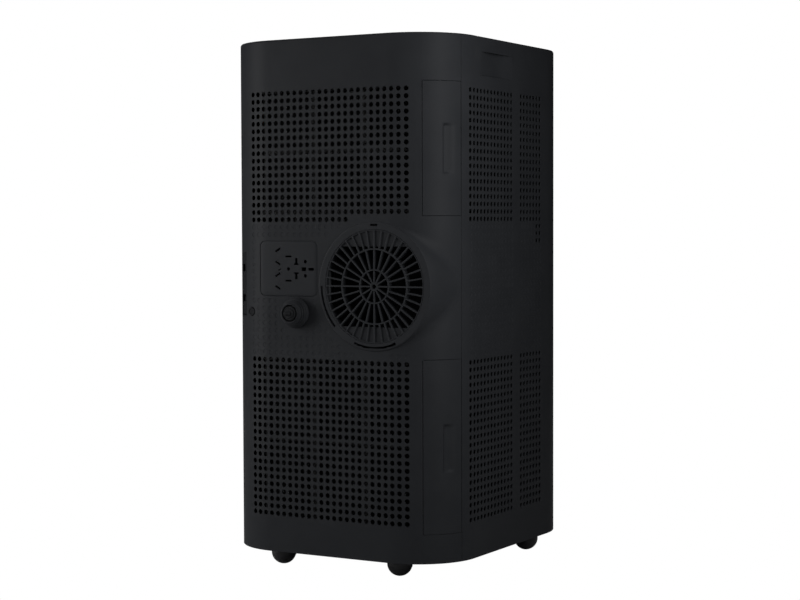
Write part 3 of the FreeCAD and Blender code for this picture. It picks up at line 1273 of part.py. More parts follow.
def build():
    rear_cover()
    side_panel("side_panel_left", -1)
    side_panel("side_panel_right", 1)
    front_panel()
    top_cover()
    plug_plate()
    exhaust_grille()
    exhaust_duct()
    drain_port()
    cord_gland()
    filter_set("upper_filter", "dims.upper_tab_bottom", "dims.upper_tab_top")
    filter_set("lower_filter", "dims.lower_tab_bottom", "dims.lower_tab_top")
    filter_guides()
    side_screens()
    outlet_frame()
    for number in range(int(val("dims.blade_count"))):
        louvre_blade(number)
    for number in range(int(val("dims.vane_count"))):
        vane(number)
    control_panel()
    for number in range(int(val("dims.button_count"))):
        control_button(number)
    base_pan()
    for name, x, y, heading in CASTERS:
        caster(name, x, y, heading)
    middle_deck()
    coil("evaporator_coil", "488", "650")
    coil("condenser_coil", "76", "284")
    scroll("evaporator_scroll", "dims.upper_fan_x", "dims.upper_fan_z",
           "dims.upper_scroll_radius")
    scroll("condenser_scroll", "dims.lower_fan_x", "dims.lower_fan_z",
           "dims.lower_scroll_radius")
    fan("evaporator_fan", "dims.upper_fan_x", "dims.upper_fan_z", "dims.upper_fan_radius")
    fan("condenser_fan", "dims.lower_fan_x", "dims.lower_fan_z", "dims.lower_fan_radius")
    motor("evaporator_motor", "dims.upper_fan_x", "dims.upper_fan_z")
    motor("condenser_motor", "dims.lower_fan_x", "dims.lower_fan_z")
    compressor()
    refrigerant_pipes()
    control_box()


def write():
    doc.recompute()
    broken = [item.Name for item in doc.Objects
              if "Invalid" in item.State or "Error" in item.State]
    if broken:
        raise ValueError(f"objects failed: {broken}")
    for item in SUBPARTS:
        if item.Shape.isNull() or not item.Shape.isValid() or not item.Shape.Solids:
            raise ValueError(f"{item.Label} has no sound shape")
    os.makedirs("parts", exist_ok=True)
    for item in SUBPARTS:
        item.Shape.exportStep(f"parts/{item.Label}.step")


build()
write()
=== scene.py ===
import json
import math

import bmesh
import bpy
from mathutils import Matrix, Vector


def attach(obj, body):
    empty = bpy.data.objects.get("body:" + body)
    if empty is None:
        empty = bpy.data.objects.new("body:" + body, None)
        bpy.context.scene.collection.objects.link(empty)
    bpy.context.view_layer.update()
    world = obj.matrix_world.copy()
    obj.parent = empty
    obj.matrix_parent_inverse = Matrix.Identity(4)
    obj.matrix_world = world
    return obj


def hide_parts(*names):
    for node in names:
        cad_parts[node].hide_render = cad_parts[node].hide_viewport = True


# A black portable air conditioner, seen from its service side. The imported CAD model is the
# frame. Panels with perforations, the exhaust, the drain port, the filter tabs and the
# casters are built again here with finer meshes, in millimetres about the casing's middle
# line, and stand for their CAD nodes. Every other node keeps its mesh and gets a material.

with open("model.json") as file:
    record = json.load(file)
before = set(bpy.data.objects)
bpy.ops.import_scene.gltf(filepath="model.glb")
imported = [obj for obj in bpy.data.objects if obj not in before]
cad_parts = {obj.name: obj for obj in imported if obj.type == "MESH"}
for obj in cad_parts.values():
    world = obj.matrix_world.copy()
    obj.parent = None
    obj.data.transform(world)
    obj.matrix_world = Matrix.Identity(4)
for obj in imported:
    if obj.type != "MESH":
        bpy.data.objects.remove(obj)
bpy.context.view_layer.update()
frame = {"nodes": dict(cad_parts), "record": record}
nodes = frame["nodes"]

MM = 0.001
MID_Y = -15.0
HALF_X, HALF_Y, CORNER = 177.5, 199.0, 85.0
ARC_X, ARC_Y = HALF_X - CORNER, HALF_Y - CORNER
WALL, CHAMFER, FOOT = 2.6, 0.35, 0.5
BOTTOM, TOP = 25.0, 720.0

# Air holes: their grid, with blind dimples in the middle rows. A hole takes a block of cells.
PITCH, FIRST_ROW, ROWS, BLIND_ROWS = 10.0, 647.5, 58, range(18, 36)
HOLE_RADIUS, DIMPLE_DEPTH = 3.3, 0.34
BLOCK = 4
CELL, RING = PITCH / BLOCK, 4 * BLOCK

# Low and high levels of the openings in the walls
UPPER_TAB, LOWER_TAB = (481.5, 657.5), (63.5, 293.5)
HOOK_POCKET, HANDLE, OUTLET = (346.0, 433.0), (668.0, 700.0), (612.0, 688.0)


# ---- materials -------------------------------------------------------------------------------

def node(tree, kind, **values):
    """A shader node with the given inputs or settings."""
    item = tree.nodes.new(kind)
    for key, value in values.items():
        if key in item.inputs:
            item.inputs[key].default_value = value
        else:
            setattr(item, key, value)
    return item


def finish_material(name, colours, roughness, grain=700.0, bump=0.12, specular=0.5,
                    metallic=0.0, wear=0.0, brushed=None, coat=0.0, patch=18.0):
    """A procedural finish: two tones mottled by noise, fine grain, uneven gloss and worn edges."""
    material = bpy.data.materials.new(name)
    material.use_nodes = True
    tree = material.node_tree
    shader = tree.nodes["Principled BSDF"]
    shader.inputs["Metallic"].default_value = metallic
    shader.inputs["Specular IOR Level"].default_value = specular
    shader.inputs["Coat Weight"].default_value = coat
    place = node(tree, "ShaderNodeTexCoord")
    source = place.outputs["Object"]
    if brushed:
        stretch = node(tree, "ShaderNodeMapping")
        stretch.inputs["Scale"].default_value = brushed
        tree.links.new(source, stretch.inputs["Vector"])
        source = stretch.outputs["Vector"]
    mottle = node(tree, "ShaderNodeTexNoise", Scale=patch, Detail=4.0, Roughness=0.6)
    fine = node(tree, "ShaderNodeTexNoise", Scale=grain, Detail=3.0, Roughness=0.55)
    tree.links.new(source, mottle.inputs["Vector"])
    tree.links.new(source, fine.inputs["Vector"])

    tones = node(tree, "ShaderNodeValToRGB")
    tones.color_ramp.elements[0].position = 0.3
    tones.color_ramp.elements[1].position = 0.7
    tones.color_ramp.elements[0].color = (*colours[0], 1)
    tones.color_ramp.elements[1].color = (*colours[1], 1)
    tree.links.new(mottle.outputs["Fac"], tones.inputs["Fac"])
    colour = tones.outputs["Color"]
    if wear:
        edges = node(tree, "ShaderNodeNewGeometry")
        reach = node(tree, "ShaderNodeMapRange")
        reach.inputs["From Min"].default_value = 0.54
        reach.inputs["From Max"].default_value = 0.7
        reach.inputs["To Max"].default_value = wear
        tree.links.new(edges.outputs["Pointiness"], reach.inputs["Value"])
        worn = node(tree, "ShaderNodeMix", data_type="RGBA")
        worn.inputs[7].default_value = (*(min(1.0, 2.4 * c + 0.01) for c in colours[1]), 1)
        tree.links.new(reach.outputs["Result"], worn.inputs[0])
        tree.links.new(colour, worn.inputs[6])
        colour = worn.outputs[2]
    tree.links.new(colour, shader.inputs["Base Color"])

    gloss = node(tree, "ShaderNodeMapRange")
    gloss.inputs["To Min"].default_value = roughness - 0.05
    gloss.inputs["To Max"].default_value = roughness + 0.06
    tree.links.new(mottle.outputs["Fac"], gloss.inputs["Value"])
    tree.links.new(gloss.outputs["Result"], shader.inputs["Roughness"])

    relief = node(tree, "ShaderNodeBump", Strength=bump, Distance=0.0004)
    tree.links.new(fine.outputs["Fac"], relief.inputs["Height"])
    tree.links.new(relief.outputs["Normal"], shader.inputs["Normal"])
    return material


def weave(material, spacing=0.0016, gap=0.25):
    """Turns a finish into a net of fine threads with see-through meshes between them."""
    tree = material.node_tree
    shader = tree.nodes["Principled BSDF"]
    place = next(n for n in tree.nodes if n.type == "TEX_COORD")
    split = node(tree, "ShaderNodeSeparateXYZ")
    tree.links.new(place.outputs["Object"], split.inputs["Vector"])
    threads = []
    for axis in "XZ":
        wave = node(tree, "ShaderNodeMath", operation="MULTIPLY")
        wave.inputs[1].default_value = 2 * math.pi / spacing
        tree.links.new(split.outputs[axis], wave.inputs[0])
        sine = node(tree, "ShaderNodeMath", operation="SINE")
        tree.links.new(wave.outputs[0], sine.inputs[0])
        thread = node(tree, "ShaderNodeMath", operation="GREATER_THAN")
        thread.inputs[1].default_value = gap
        tree.links.new(sine.outputs[0], thread.inputs[0])
        threads.append(thread)
    cover = node(tree, "ShaderNodeMath", operation="MAXIMUM")
    for number, thread in enumerate(threads):
        tree.links.new(thread.outputs[0], cover.inputs[number])
    tree.links.new(cover.outputs[0], shader.inputs["Alpha"])


# The darker and the lighter tone, the roughness and what else differs from a plain finish
FINISHES = {
    "casing_plastic": ((0.0165, 0.0175, 0.0196), (0.0195, 0.0206, 0.0228), 0.5,
                       dict(specular=0.05, wear=0.08)),
    "gloss_panel": ((0.008, 0.008, 0.009), (0.011, 0.011, 0.012), 0.45,
                    dict(bump=0.03, specular=0.12)),
    "window": ((0.004, 0.005, 0.006), (0.006, 0.007, 0.008), 0.1, dict(bump=0.01, coat=0.5)),
    "button": ((0.012, 0.012, 0.013), (0.02, 0.02, 0.021), 0.42, {}),
    "caster_plastic": ((0.018, 0.018, 0.020), (0.025, 0.025, 0.027), 0.38,
                       dict(bump=0.06, specular=0.3, wear=0.3)),
    "caster_yoke": ((0.012, 0.012, 0.013), (0.02, 0.02, 0.02), 0.5, dict(bump=0.1)),
    "inner_plastic": ((0.006, 0.006, 0.0065), (0.010, 0.010, 0.011), 0.6, dict(specular=0.25)),
    "foam_plastic": ((0.02, 0.02, 0.02), (0.035, 0.035, 0.035), 0.85,
                     dict(grain=420.0, bump=0.5, specular=0.2)),
    "rubber": ((0.014, 0.0145, 0.016), (0.019, 0.0195, 0.021), 0.7,
               dict(grain=500.0, bump=0.15, specular=0.05)),
    "filter_net": ((0.002, 0.002, 0.0022), (0.0035, 0.0035, 0.0038), 0.7, dict(specular=0.05)),
    "filter_felt": ((0.0025, 0.0025, 0.0025), (0.005, 0.005, 0.005), 0.9,
                    dict(grain=900.0, bump=0.4, specular=0.0)),
    "coil_aluminium": ((0.30, 0.31, 0.32), (0.42, 0.43, 0.44), 0.42,
                       dict(metallic=1.0, brushed=(1.0, 1.0, 0.04), bump=0.2)),
    "copper_pipe": ((0.42, 0.17, 0.08), (0.60, 0.27, 0.13), 0.35,
                    dict(metallic=1.0, patch=40.0, bump=0.1)),
    "motor_steel": ((0.22, 0.22, 0.22), (0.34, 0.34, 0.34), 0.4,
                    dict(metallic=1.0, brushed=(1.0, 0.05, 1.0))),
    "compressor_steel": ((0.012, 0.012, 0.012), (0.024, 0.024, 0.024), 0.34,
                         dict(bump=0.2, grain=240.0, wear=0.3)),
    "zinc_steel": ((0.40, 0.41, 0.42), (0.58, 0.59, 0.60), 0.4, dict(metallic=1.0, patch=90.0)),
    "circuit_board": ((0.006, 0.05, 0.02), (0.01, 0.08, 0.03), 0.45, dict(patch=120.0)),
}
MATERIALS = {name: finish_material(name, (dark, light), roughness, **extra)
             for name, (dark, light, roughness, extra) in FINISHES.items()}
weave(MATERIALS["filter_net"])

for entry in frame["record"]["subparts"]:
    mesh = nodes[entry["node"]].data
    mesh.materials.clear()
    mesh.materials.append(MATERIALS[entry["material_slot"]])


# ---- mesh building ---------------------------------------------------------------------------

class Shell:
    """Faces given by their corner points in the casing's millimetres. Equal points are one."""

    def __init__(self):
        self.points = []
        self.faces = []
        self.known = {}

    def spot(self, point):
        key = (round(point[0], 3), round(point[1], 3), round(point[2], 3))
        found = self.known.get(key)
        if found is None:
            found = self.known[key] = len(self.points)
            self.points.append(point)
        return found

    def face(self, *corners):
        ids = []
        for corner in corners:
            number = self.spot(corner)
            if number not in ids:
                ids.append(number)
        if len(ids) > 2:
            self.faces.append(ids)

    def strip(self, first, second, closed=True):
        """Quads between two rows of points."""
        count = len(first)
        for number in range(count if closed else count - 1):
            after = (number + 1) % count
            self.face(first[number], first[after], second[after], second[number])

    def cap(self, row):
        self.face(*row)


def make(name, shell, slot, body, replaced, sharp=28.0):
    """Makes a shell the visible piece of its body in place of the CAD nodes it replaces."""
    mesh = bpy.data.meshes.new(name)
    points = [(x * MM, (y + MID_Y) * MM, z * MM) for x, y, z in shell.points]
    mesh.from_pydata(points, [], shell.faces)
    work = bmesh.new()
    work.from_mesh(mesh)
    bmesh.ops.recalc_face_normals(work, faces=work.faces)
    work.to_mesh(mesh)
    work.free()
    mesh.polygons.foreach_set("use_smooth", [True] * len(mesh.polygons))
    mesh.set_sharp_from_angle(angle=math.radians(sharp))
    mesh.materials.append(MATERIALS[slot])
    piece = bpy.data.objects.new(name, mesh)
    bpy.context.scene.collection.objects.link(piece)
    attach(piece, body)
    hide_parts(*replaced)
    return piece


def lathe(shell, profile, centre, axis, count=96):
    """Sweeps a closed profile of (radius, along) round a level axis through centre."""
    axis = Vector(axis)
    across = axis.cross(Vector((0, 0, 1)))
    up = axis.cross(across)
    rings = []
    for radius, along in profile:
        ring = []
        for number in range(count):
            angle = 2 * math.pi * number / count
            spot = (Vector(centre) + axis * along
                    + across * (radius * math.cos(angle)) + up * (radius * math.sin(angle)))
            ring.append(tuple(spot))
        rings.append(ring)
    for first, second in zip(rings, rings[1:] + rings[:1]):
        shell.strip(first, second)


# ---- the casing's surface --------------------------------------------------------------------

def drill_y(x, inset, end=1):
    """Y of the outline at X, an inset inside the outer face."""
    over = abs(x) - ARC_X
    if over <= 0:
        return end * (HALF_Y - inset)
    return end * (ARC_Y + math.sqrt(max(0.0, (CORNER - inset) ** 2 - over ** 2)))


def drill_x(y, inset, side=1):
    """X of the outline at Y, an inset inside the outer face."""
    over = abs(y) - ARC_Y
    if over <= 0:
        return side * (HALF_X - inset)
    return side * (ARC_X + math.sqrt(max(0.0, (CORNER - inset) ** 2 - over ** 2)))


def arc(angle, inset, side, end):
    """A point of a corner arc; the angle runs from the Y axis toward the side."""
    return (side * (ARC_X + (CORNER - inset) * math.sin(math.radians(angle))),
            end * (ARC_Y + (CORNER - inset) * math.cos(math.radians(angle))))


def x_column(x, end=1):
    return lambda inset: (x, drill_y(x, inset, end))


def y_column(y, side):
    return lambda inset: (drill_x(y, inset, side), y)


def arc_column(angle, side, end):
    return lambda inset: arc(angle, inset, side, end)


PRESENT, GONE, HIDDEN, PATCH, TILE = range(5)


class Panel:
    """A wall of the casing as a grid of columns round the outline and levels up it. A column
    gives (x, y) for an inset; flush columns have no chamfer."""

    def __init__(self, columns, levels, insets, shift=None, way=1):
        self.columns = columns
        self.way = way
        self.levels = levels
        self.insets = insets
        self.shift = shift or (lambda i, z: z)
        self.flush = set()
        self.state = [[PRESENT] * (len(levels) - 1) for _ in range(len(columns) - 1)]
        self.shell = Shell()

    def clear(self, first, last, low, high, state):
        for i in range(first, last):
            for j in range(low, high):
                self.state[i][j] = state

    def around(self, i, j):
        return [
            self.state[a][b] if 0 <= a < len(self.state) and 0 <= b < len(self.state[0]) else GONE
            for a in (i - 1, i) for b in (j - 1, j)
        ]

    def place(self, i, j, inset):
        x, y = self.columns[i](inset)
        return (x, y, self.shift(i, self.levels[j]))

    def outer(self, i, j):
        inset = self.insets[j]
        beside_opening = GONE in self.around(i, j) and 0 < j < len(self.levels) - 1
        if i not in self.flush and (beside_opening or i in (0, len(self.columns) - 1)):
            inset = max(inset, CHAMFER)
        return self.place(i, j, inset)

    def inner(self, i, j):
        return self.place(i, j, WALL)

    def build(self):
        for i, column in enumerate(self.state):
            for j, state in enumerate(column):
                if state == PRESENT:
                    self.build_cell(i, j)
        return self.shell

    def build_cell(self, i, j):
        corners = ((i, j), (i + 1, j), (i + 1, j + 1), (i, j + 1))
        neighbours = ((i, j - 1), (i + 1, j), (i, j + 1), (i - 1, j))
        self.shell.face(*(self.outer(*c) for c in corners))
        self.shell.face(*(self.inner(*c) for c in corners))
        for a, b, neighbour in zip(corners, corners[1:] + corners[:1], neighbours):
            if self.is_open(*neighbour):
                self.shell.face(self.outer(*a), self.outer(*b), self.inner(*b), self.inner(*a))

    def is_open(self, i, j):
        if not (0 <= i < len(self.state) and 0 <= j < len(self.state[0])):
            return True
        return self.state[i][j] in (GONE, HIDDEN)

    def rim(self, i0, i1, j0, j1, spot):
        """The grid points round a block, anticlockwise from the middle of its far side."""
        path = [(i1, j) for j in range(j0, j1)] + [(i, j1) for i in range(i1, i0, -1)]
        path += [(i0, j) for j in range(j1, j0, -1)] + [(i, j0) for i in range(i0, i1)]
        return [spot(i, j) for i, j in path]

    def tile(self, i0, j0, value, z, surface, blind):
        """A perforation in a block of cells, or a dimple if blind. surface gives a point from
        the coordinate across the drill, z and an inset."""
        shell = self.shell
        i1, j1 = i0 + BLOCK, j0 + BLOCK
        self.clear(i0, i1, j0, j1, TILE)
        rim = self.rim(i0, i1, j0, j1, self.outer)
        angles = [2 * math.pi * (number - BLOCK / 2) / RING for number in range(RING)]

        def ring(radius, inset):
            return [surface(value + self.way * radius * math.cos(a), z + radius * math.sin(a),
                            inset)
                    for a in angles]

        if blind:
            lip = ring(HOLE_RADIUS, 0.0)
            floor = ring(HOLE_RADIUS - 0.5, DIMPLE_DEPTH)
            shell.strip(rim, lip)
            shell.strip(lip, floor)
            middle = surface(value, z, DIMPLE_DEPTH + 0.06)
            for first, second in zip(floor, floor[1:] + floor[:1]):
                shell.face(first, second, middle)
            for i in range(i0, i1):
                for j in range(j0, j1):
                    shell.face(self.inner(i, j), self.inner(i + 1, j), self.inner(i + 1, j + 1),
                               self.inner(i, j + 1))
            return
        lip = ring(HOLE_RADIUS + 0.15, 0.0)
        land = ring(HOLE_RADIUS, 1.2)
        back = ring(HOLE_RADIUS + 1.2, WALL)
        inner_rim = self.rim(i0, i1, j0, j1, self.inner)
        for first, second in ((rim, lip), (lip, land), (land, back), (back, inner_rim)):
            shell.strip(first, second)

    def patch(self, i0, i1, j0, j1, centre, half, radius, surface):
        """An opening with round corners in a block of cells, with a chamfered edge."""
        shell = self.shell
        self.clear(i0, i1, j0, j1, PATCH)

        def near(spot, grow):
            a, b, r = half[0] + grow, half[1] + grow, radius + grow
            dx, dz = spot[0] - centre[0], spot[2] - centre[1]
            core = (max(r - a, min(a - r, dx)), max(r - b, min(b - r, dz)))
            out = Vector((dx - core[0], dz - core[1])).normalized() * r
            return centre[0] + core[0] + out.x, centre[1] + core[1] + out.y

        rim = self.rim(i0, i1, j0, j1, self.outer)
        back_rim = self.rim(i0, i1, j0, j1, self.inner)
        lip = [surface(*near(p, CHAMFER), 0.0) for p in rim]
        edge = [surface(*near(p, 0.0), CHAMFER) for p in rim]
        back = [surface(*near(p, 0.0), WALL) for p in rim]
        for first, second in ((rim, lip), (lip, edge), (edge, back), (back, back_rim)):
            shell.strip(first, second)


def steps(start, end, count):
    return [start + (end - start) * number / count for number in range(count + 1)]


def row_z(row):
    return FIRST_ROW - PITCH * row


def with_edges(between):
    """Levels of a wall from its bottom to its rounded top edge, and the inset of each."""
    rise, run = 3.4, 2.2
    levels = [BOTTOM, BOTTOM + FOOT] + between
    angles = [math.radians(degrees) for degrees in range(0, 91, 18)]
    insets = [FOOT] + [0.0] * (len(levels) - 1) + [run * (1 - math.cos(a)) for a in angles]
    return levels + [TOP - rise + rise * math.sin(a) for a in angles], insets


LEVELS, INSETS = with_edges(
    [34.0, 48.0, LOWER_TAB[0] - CHAMFER, LOWER_TAB[0], 68.0]
    + steps(row_z(ROWS - 1) - PITCH / 2, FIRST_ROW + PITCH / 2, ROWS * BLOCK)
    + [UPPER_TAB[1], UPPER_TAB[1] + CHAMFER, HANDLE[0] - CHAMFER, HANDLE[0], 676.0, 684.0, 692.0,
       HANDLE[1], HANDLE[1] + CHAMFER, 708.0])


def level(z):
    """The number of the level nearest to z."""
    return min(range(len(LEVELS)), key=lambda j: abs(LEVELS[j] - z))


# ---- rear cover ------------------------------------------------------------------------------

# The boss: its middle, flange face, flange and root radii, and its depth at the root
BOSS_X, BOSS_Z = -74.0, 389.0
FACE_Y = HALF_Y + 1.5
FLANGE, ROOT, ROOT_DEPTH = 85.0, 97.0, 52.0
DRAFT = (ROOT - FLANGE) / (ROOT_DEPTH + 1.5)

# Degrees round the corner from the back: the seam with the side panel and the start of a tab,
# with the narrow cell that a chamfer takes
SEAM, TAB_START, EDGE_CELL = 71.36, 33.0, 0.24

DRAIN = (47.5, 0.0, 352.0)
GLAND, GLAND_RADIUS = (125.0, 0.0, 352.0), 6.0
PLATE_X, PLATE_Z = 61.2, 411.5
PLATE_HALF_X, PLATE_HALF_Z, PLATE_CORNER = 46.25, 37.0, 8.0
FIT = 0.3


def boss_radius(y):
    return FLANGE + DRAFT * (FACE_Y - y)


def is_near(middle_x, middle_z, x, z, reach):
    return math.hypot(x - middle_x, z - middle_z) < reach


def is_covered(row, x, z):
    """Whether something else on the back takes a hole's place."""
    if row == BLIND_ROWS[0] - 1:
        return x < -31.0
    if row not in BLIND_ROWS:
        return False
    return (is_near(BOSS_X, BOSS_Z, x, z, 95.0) or is_near(DRAIN[0], DRAIN[2], x, z, 28.0)
            or 8.0 < x < 114.0 and 368.0 < z < 455.0 or x > 114.0 and 340.0 < z < 364.0)


def snapped(low, high):
    """Moves the levels next to an opening onto its edges and their chamfers."""
    under, over = LEVELS[level(low)], LEVELS[level(high)]
    return {under: low, under - CELL: low - CHAMFER, over: high, over + CELL: high + CHAMFER}


def rear_cover():
    start, pocket_start, pocket_end = -132.5, 33.34, 56.66
    drilled = steps(start, -start, round(-2 * start / CELL))
    tab_side = ([TAB_START - EDGE_CELL, TAB_START] + steps(36.5, 70.0, 10)
                + [SEAM - EDGE_CELL, SEAM])
    hook_side = [30.0, pocket_start - EDGE_CELL, pocket_start] + steps(36.5, 53.5, 6)
    hook_side += [pocket_end, pocket_end + EDGE_CELL] + steps(60.0, 70.0, 3)
    hook_side += [SEAM - EDGE_CELL, SEAM]
    columns = [arc_column(angle, -1, 1) for angle in tab_side[::-1]]
    first = len(columns)
    columns += [x_column(x) for x in drilled]
    hook_first = len(columns)
    columns += [arc_column(angle, 1, 1) for angle in hook_side]
    tab_snaps = {**snapped(*UPPER_TAB), **snapped(*LOWER_TAB)}
    hook_snaps = snapped(*HOOK_POCKET)

    def shift(i, z):
        snaps = tab_snaps if i < first else hook_snaps if i >= hook_first else {}
        return snaps.get(z, z)

    def surface(x, z, inset):
        return (x, drill_y(x, inset), z)

    def column(x):
        return first + round((x - start) / CELL)

    panel = Panel(columns, LEVELS, INSETS, shift)
    for low, high in (UPPER_TAB, LOWER_TAB):
        panel.clear(0, first - 2, level(low), level(high), GONE)
    panel.clear(hook_first + hook_side.index(pocket_start),
                hook_first + hook_side.index(pocket_end),
                level(HOOK_POCKET[0]), level(HOOK_POCKET[1]), GONE)
    for row in range(ROWS):
        z = row_z(row)
        for number in range(-12, 13):
            x = PITCH * number
            if not is_covered(row, x, z):
                panel.tile(column(x - PITCH / 2), level(z - PITCH / 2), x, z, surface,
                           row in BLIND_ROWS)
    panel.patch(column(12.5), column(110.0), level(372.5), level(450.0),
                (PLATE_X + 0.05, PLATE_Z), (PLATE_HALF_X + FIT, PLATE_HALF_Z + FIT),
                PLATE_CORNER + FIT, surface)
    panel.patch(column(117.5), column(132.5), level(345.0), level(360.0), (GLAND[0], GLAND[2]),
                (GLAND_RADIUS + FIT, GLAND_RADIUS + FIT), GLAND_RADIUS + FIT, surface)
    for i in range(len(columns) - 1):
        for j in range(len(LEVELS) - 1):
            spots = [panel.columns[a](0.0)[:1] + (LEVELS[b],)
                     for a in (i, i + 1) for b in (j, j + 1)]
            in_boss = all(is_near(BOSS_X, BOSS_Z, *spot, 84.0) for spot in spots)
            in_drain = all(is_near(DRAIN[0], DRAIN[2], *spot, 15.0) for spot in spots)
            if in_boss or in_drain and panel.state[i][j] == PRESENT:
                panel.state[i][j] = HIDDEN
    shell = panel.build()
    boss(shell)
    hook_recess(shell)
    make("rear_cover_shell", shell, "casing_plastic", "casing", ["rear_cover"])


# The point of the boss's profile where the flange's slots begin
SLOT_START = 3


def boss_profile(c):
    """(radius, y) round the section of the boss whose radius points c along X. The skirt ends
    in a curve that meets the wall."""
    def wall_y(radius):
        return drill_y(max(0.5 - HALF_X, BOSS_X + radius * c), 0.0)

    meet = FLANGE
    for _ in range(40):
        meet = 0.5 * meet + 0.5 * boss_radius(max(wall_y(meet), FACE_Y - 60.0))
    reach = min(9.0, max(1.1, 0.55 * (FACE_Y - wall_y(meet))))
    limit = 98.3 if c < -0.85 else 140.0
    end = min(meet + reach, max(limit, meet + 0.8))
    end_y = wall_y(end)
    # the curve bends where the wall's tangent at its end meets the drum's side
    slope = (wall_y(end + 0.05) - wall_y(end - 0.05)) / 0.1
    bend = (FLANGE + DRAFT * (FACE_Y - end_y + slope * end)) / (1 + DRAFT * slope)
    bend_y = end_y + slope * (bend - end)
    start_y = min(FACE_Y - 1.0, bend_y + max(0.8, end - meet))
    start = boss_radius(start_y)
    curve = []
    for t in steps(0.0, 1.0, 6)[1:-1]:
        a, b, d = (1 - t) ** 2, 2 * t * (1 - t), t * t
        curve.append((a * start + b * bend + d * end, a * start_y + b * bend_y + d * end_y))
    under, edge_y, back_y = FACE_Y - 0.22, FACE_Y - 0.75, FACE_Y - WALL
    middle_y = 0.5 * (edge_y + start_y)
    front = [(75.3, back_y), (75.3, FACE_Y - 0.3), (75.6, FACE_Y), (79.0, FACE_Y),
             (79.5, FACE_Y), (82.5, FACE_Y), (83.0, FACE_Y), (84.2, FACE_Y), (84.75, under),
             (boss_radius(edge_y), edge_y), (boss_radius(middle_y), middle_y), (start, start_y)]
    back = [(end, end_y), (end, end_y - 1.4), (meet - 3.0, wall_y(meet) - 2.2)]
    back += [(radius, back_y) for radius in (83.0, 82.5, 79.5, 79.0)]
    return front + curve + back


def boss(shell):
    """The drafted exhaust boss: a flange with bayonet slots on a skirt."""
    count = 180
    slots, key = ((-41, 0), (-111, -69), (86, 94)), (-113, -110)
    rows = []
    for number in range(count):
        angle = 2 * math.pi * number / count
        c, s = math.cos(angle), math.sin(angle)
        rows.append([(BOSS_X + radius * c, y, BOSS_Z + radius * s)
                     for radius, y in boss_profile(c)])
    size = len(rows[0])

    def opened(number):
        """The first and last profile point of the slot over a step, or None."""
        middle = 360 * ((number % count) + 0.5) / count
        middle = middle - 360 if middle > 180 else middle
        if key[0] <= middle <= key[1]:
            return SLOT_START, SLOT_START + 3
        if any(a <= middle <= b for a, b in slots):
            return SLOT_START + 1, SLOT_START + 2
        return None

    def behind(k):
        return size - 1 - (k - SLOT_START)

    for number in range(count):
        here, after = rows[number], rows[(number + 1) % count]
        span = opened(number)
        gone = set()
        if span:
            gone = set(range(*span)) | {behind(k) - 1 for k in range(*span)}
            for k in span:
                shell.face(here[k], after[k], after[behind(k)], here[behind(k)])
        for k in range(size):
            if k not in gone:
                following = (k + 1) % size
                shell.face(here[k], here[following], after[following], after[k])
        for row, other in ((here, opened(number - 1)), (after, opened(number + 1))):
            for k in range(*span) if span else ():
                if not other or not other[0] <= k < other[1]:
                    shell.face(row[k], row[k + 1], row[behind(k + 1)], row[behind(k)])


def turned(point, degrees, centre):
    """A point turned about an upright line."""
    c, s = math.cos(math.radians(degrees)), math.sin(math.radians(degrees))
    x, y = point[0] - centre[0], point[1] - centre[1]
    return (centre[0] + c * x - s * y, centre[1] + s * x + c * y, point[2])


def hook_recess(shell):
    """The upright pocket on the far rear corner, with two notches through its side wall."""
    low, high = HOOK_POCKET
    half, thick, draft, lip_inset = 17.5, 2.0, 4.5, 0.3
    floor, behind = CORNER - 8.0, CORNER - 8.0 - WALL
    notch, notch_starts = (floor + 1.6, floor + 5.4), (364.0, 406.0)
    across = steps(-half, half, 3)
    up = [low, 364.0, 374.0, 406.0, 416.0, high]
    lip_depth = math.sqrt(CORNER ** 2 - half ** 2) - lip_inset

    def at(a, depth, z):
        return turned((ARC_X + a, ARC_Y + depth, z), -45.0, (ARC_X, ARC_Y))

    def inside(a, depth, z):
        """A point on the pocket's inner face; the notched wall leans outwards."""
        lean = draft * (lip_depth - depth) / (lip_depth - floor) if a == half else 0.0
        return at(a - lean, depth, z)

    for a, b in zip(across, across[1:]):
        for c, d in zip(up, up[1:]):
            for place, depth in ((inside, floor), (at, behind)):
                shell.face(place(a, depth, c), place(b, depth, c),
                           place(b, depth, d), place(a, depth, d))
    edge = [(a, low) for a in across] + [(half, z) for z in up[1:]]
    edge += [(a, high) for a in across[-2::-1]] + [(-half, z) for z in up[-2:0:-1]]
    outside = []
    for a, z in edge:
        wide = a + (thick if a == half else -thick if a == -half else 0.0)
        tall = z + (thick if z == high else -thick if z == low else 0.0)
        outside.append((wide, tall))
    lip = [at(a, math.sqrt(CORNER ** 2 - a ** 2) - lip_inset, z) for a, z in edge]
    outer_lip = [at(a, lip_depth - 0.6, z) for a, z in outside]
    outer_low = [at(a, behind, z) for a, z in outside]
    inner_low = [inside(a, floor, z) for a, z in edge]
    back_low = [at(a, behind, z) for a, z in edge]
    for first, second in ((lip, outer_lip), (outer_low, back_low)):
        shell.strip(first, second)
    for number, (a, z) in enumerate(edge):
        after = (number + 1) % len(edge)
        walls = ([inner_low[number], inner_low[after], lip[after], lip[number]],
                 [outer_low[number], outer_low[after], outer_lip[after], outer_lip[number]])
        if a != half or z not in notch_starts:
            for wall in walls:
                shell.face(*wall)
            continue
        top = edge[after][1]
        mouths = [[place(out, notch[0], z), place(out, notch[0], top),
                   place(out, notch[1], top), place(out, notch[1], z)]
                  for place, out in ((inside, half), (at, half + thick))]
        for wall, mouth in zip(walls, mouths):
            shell.strip(wall, mouth)
        shell.strip(*mouths)


# ---- side panels and front -------------------------------------------------------------------

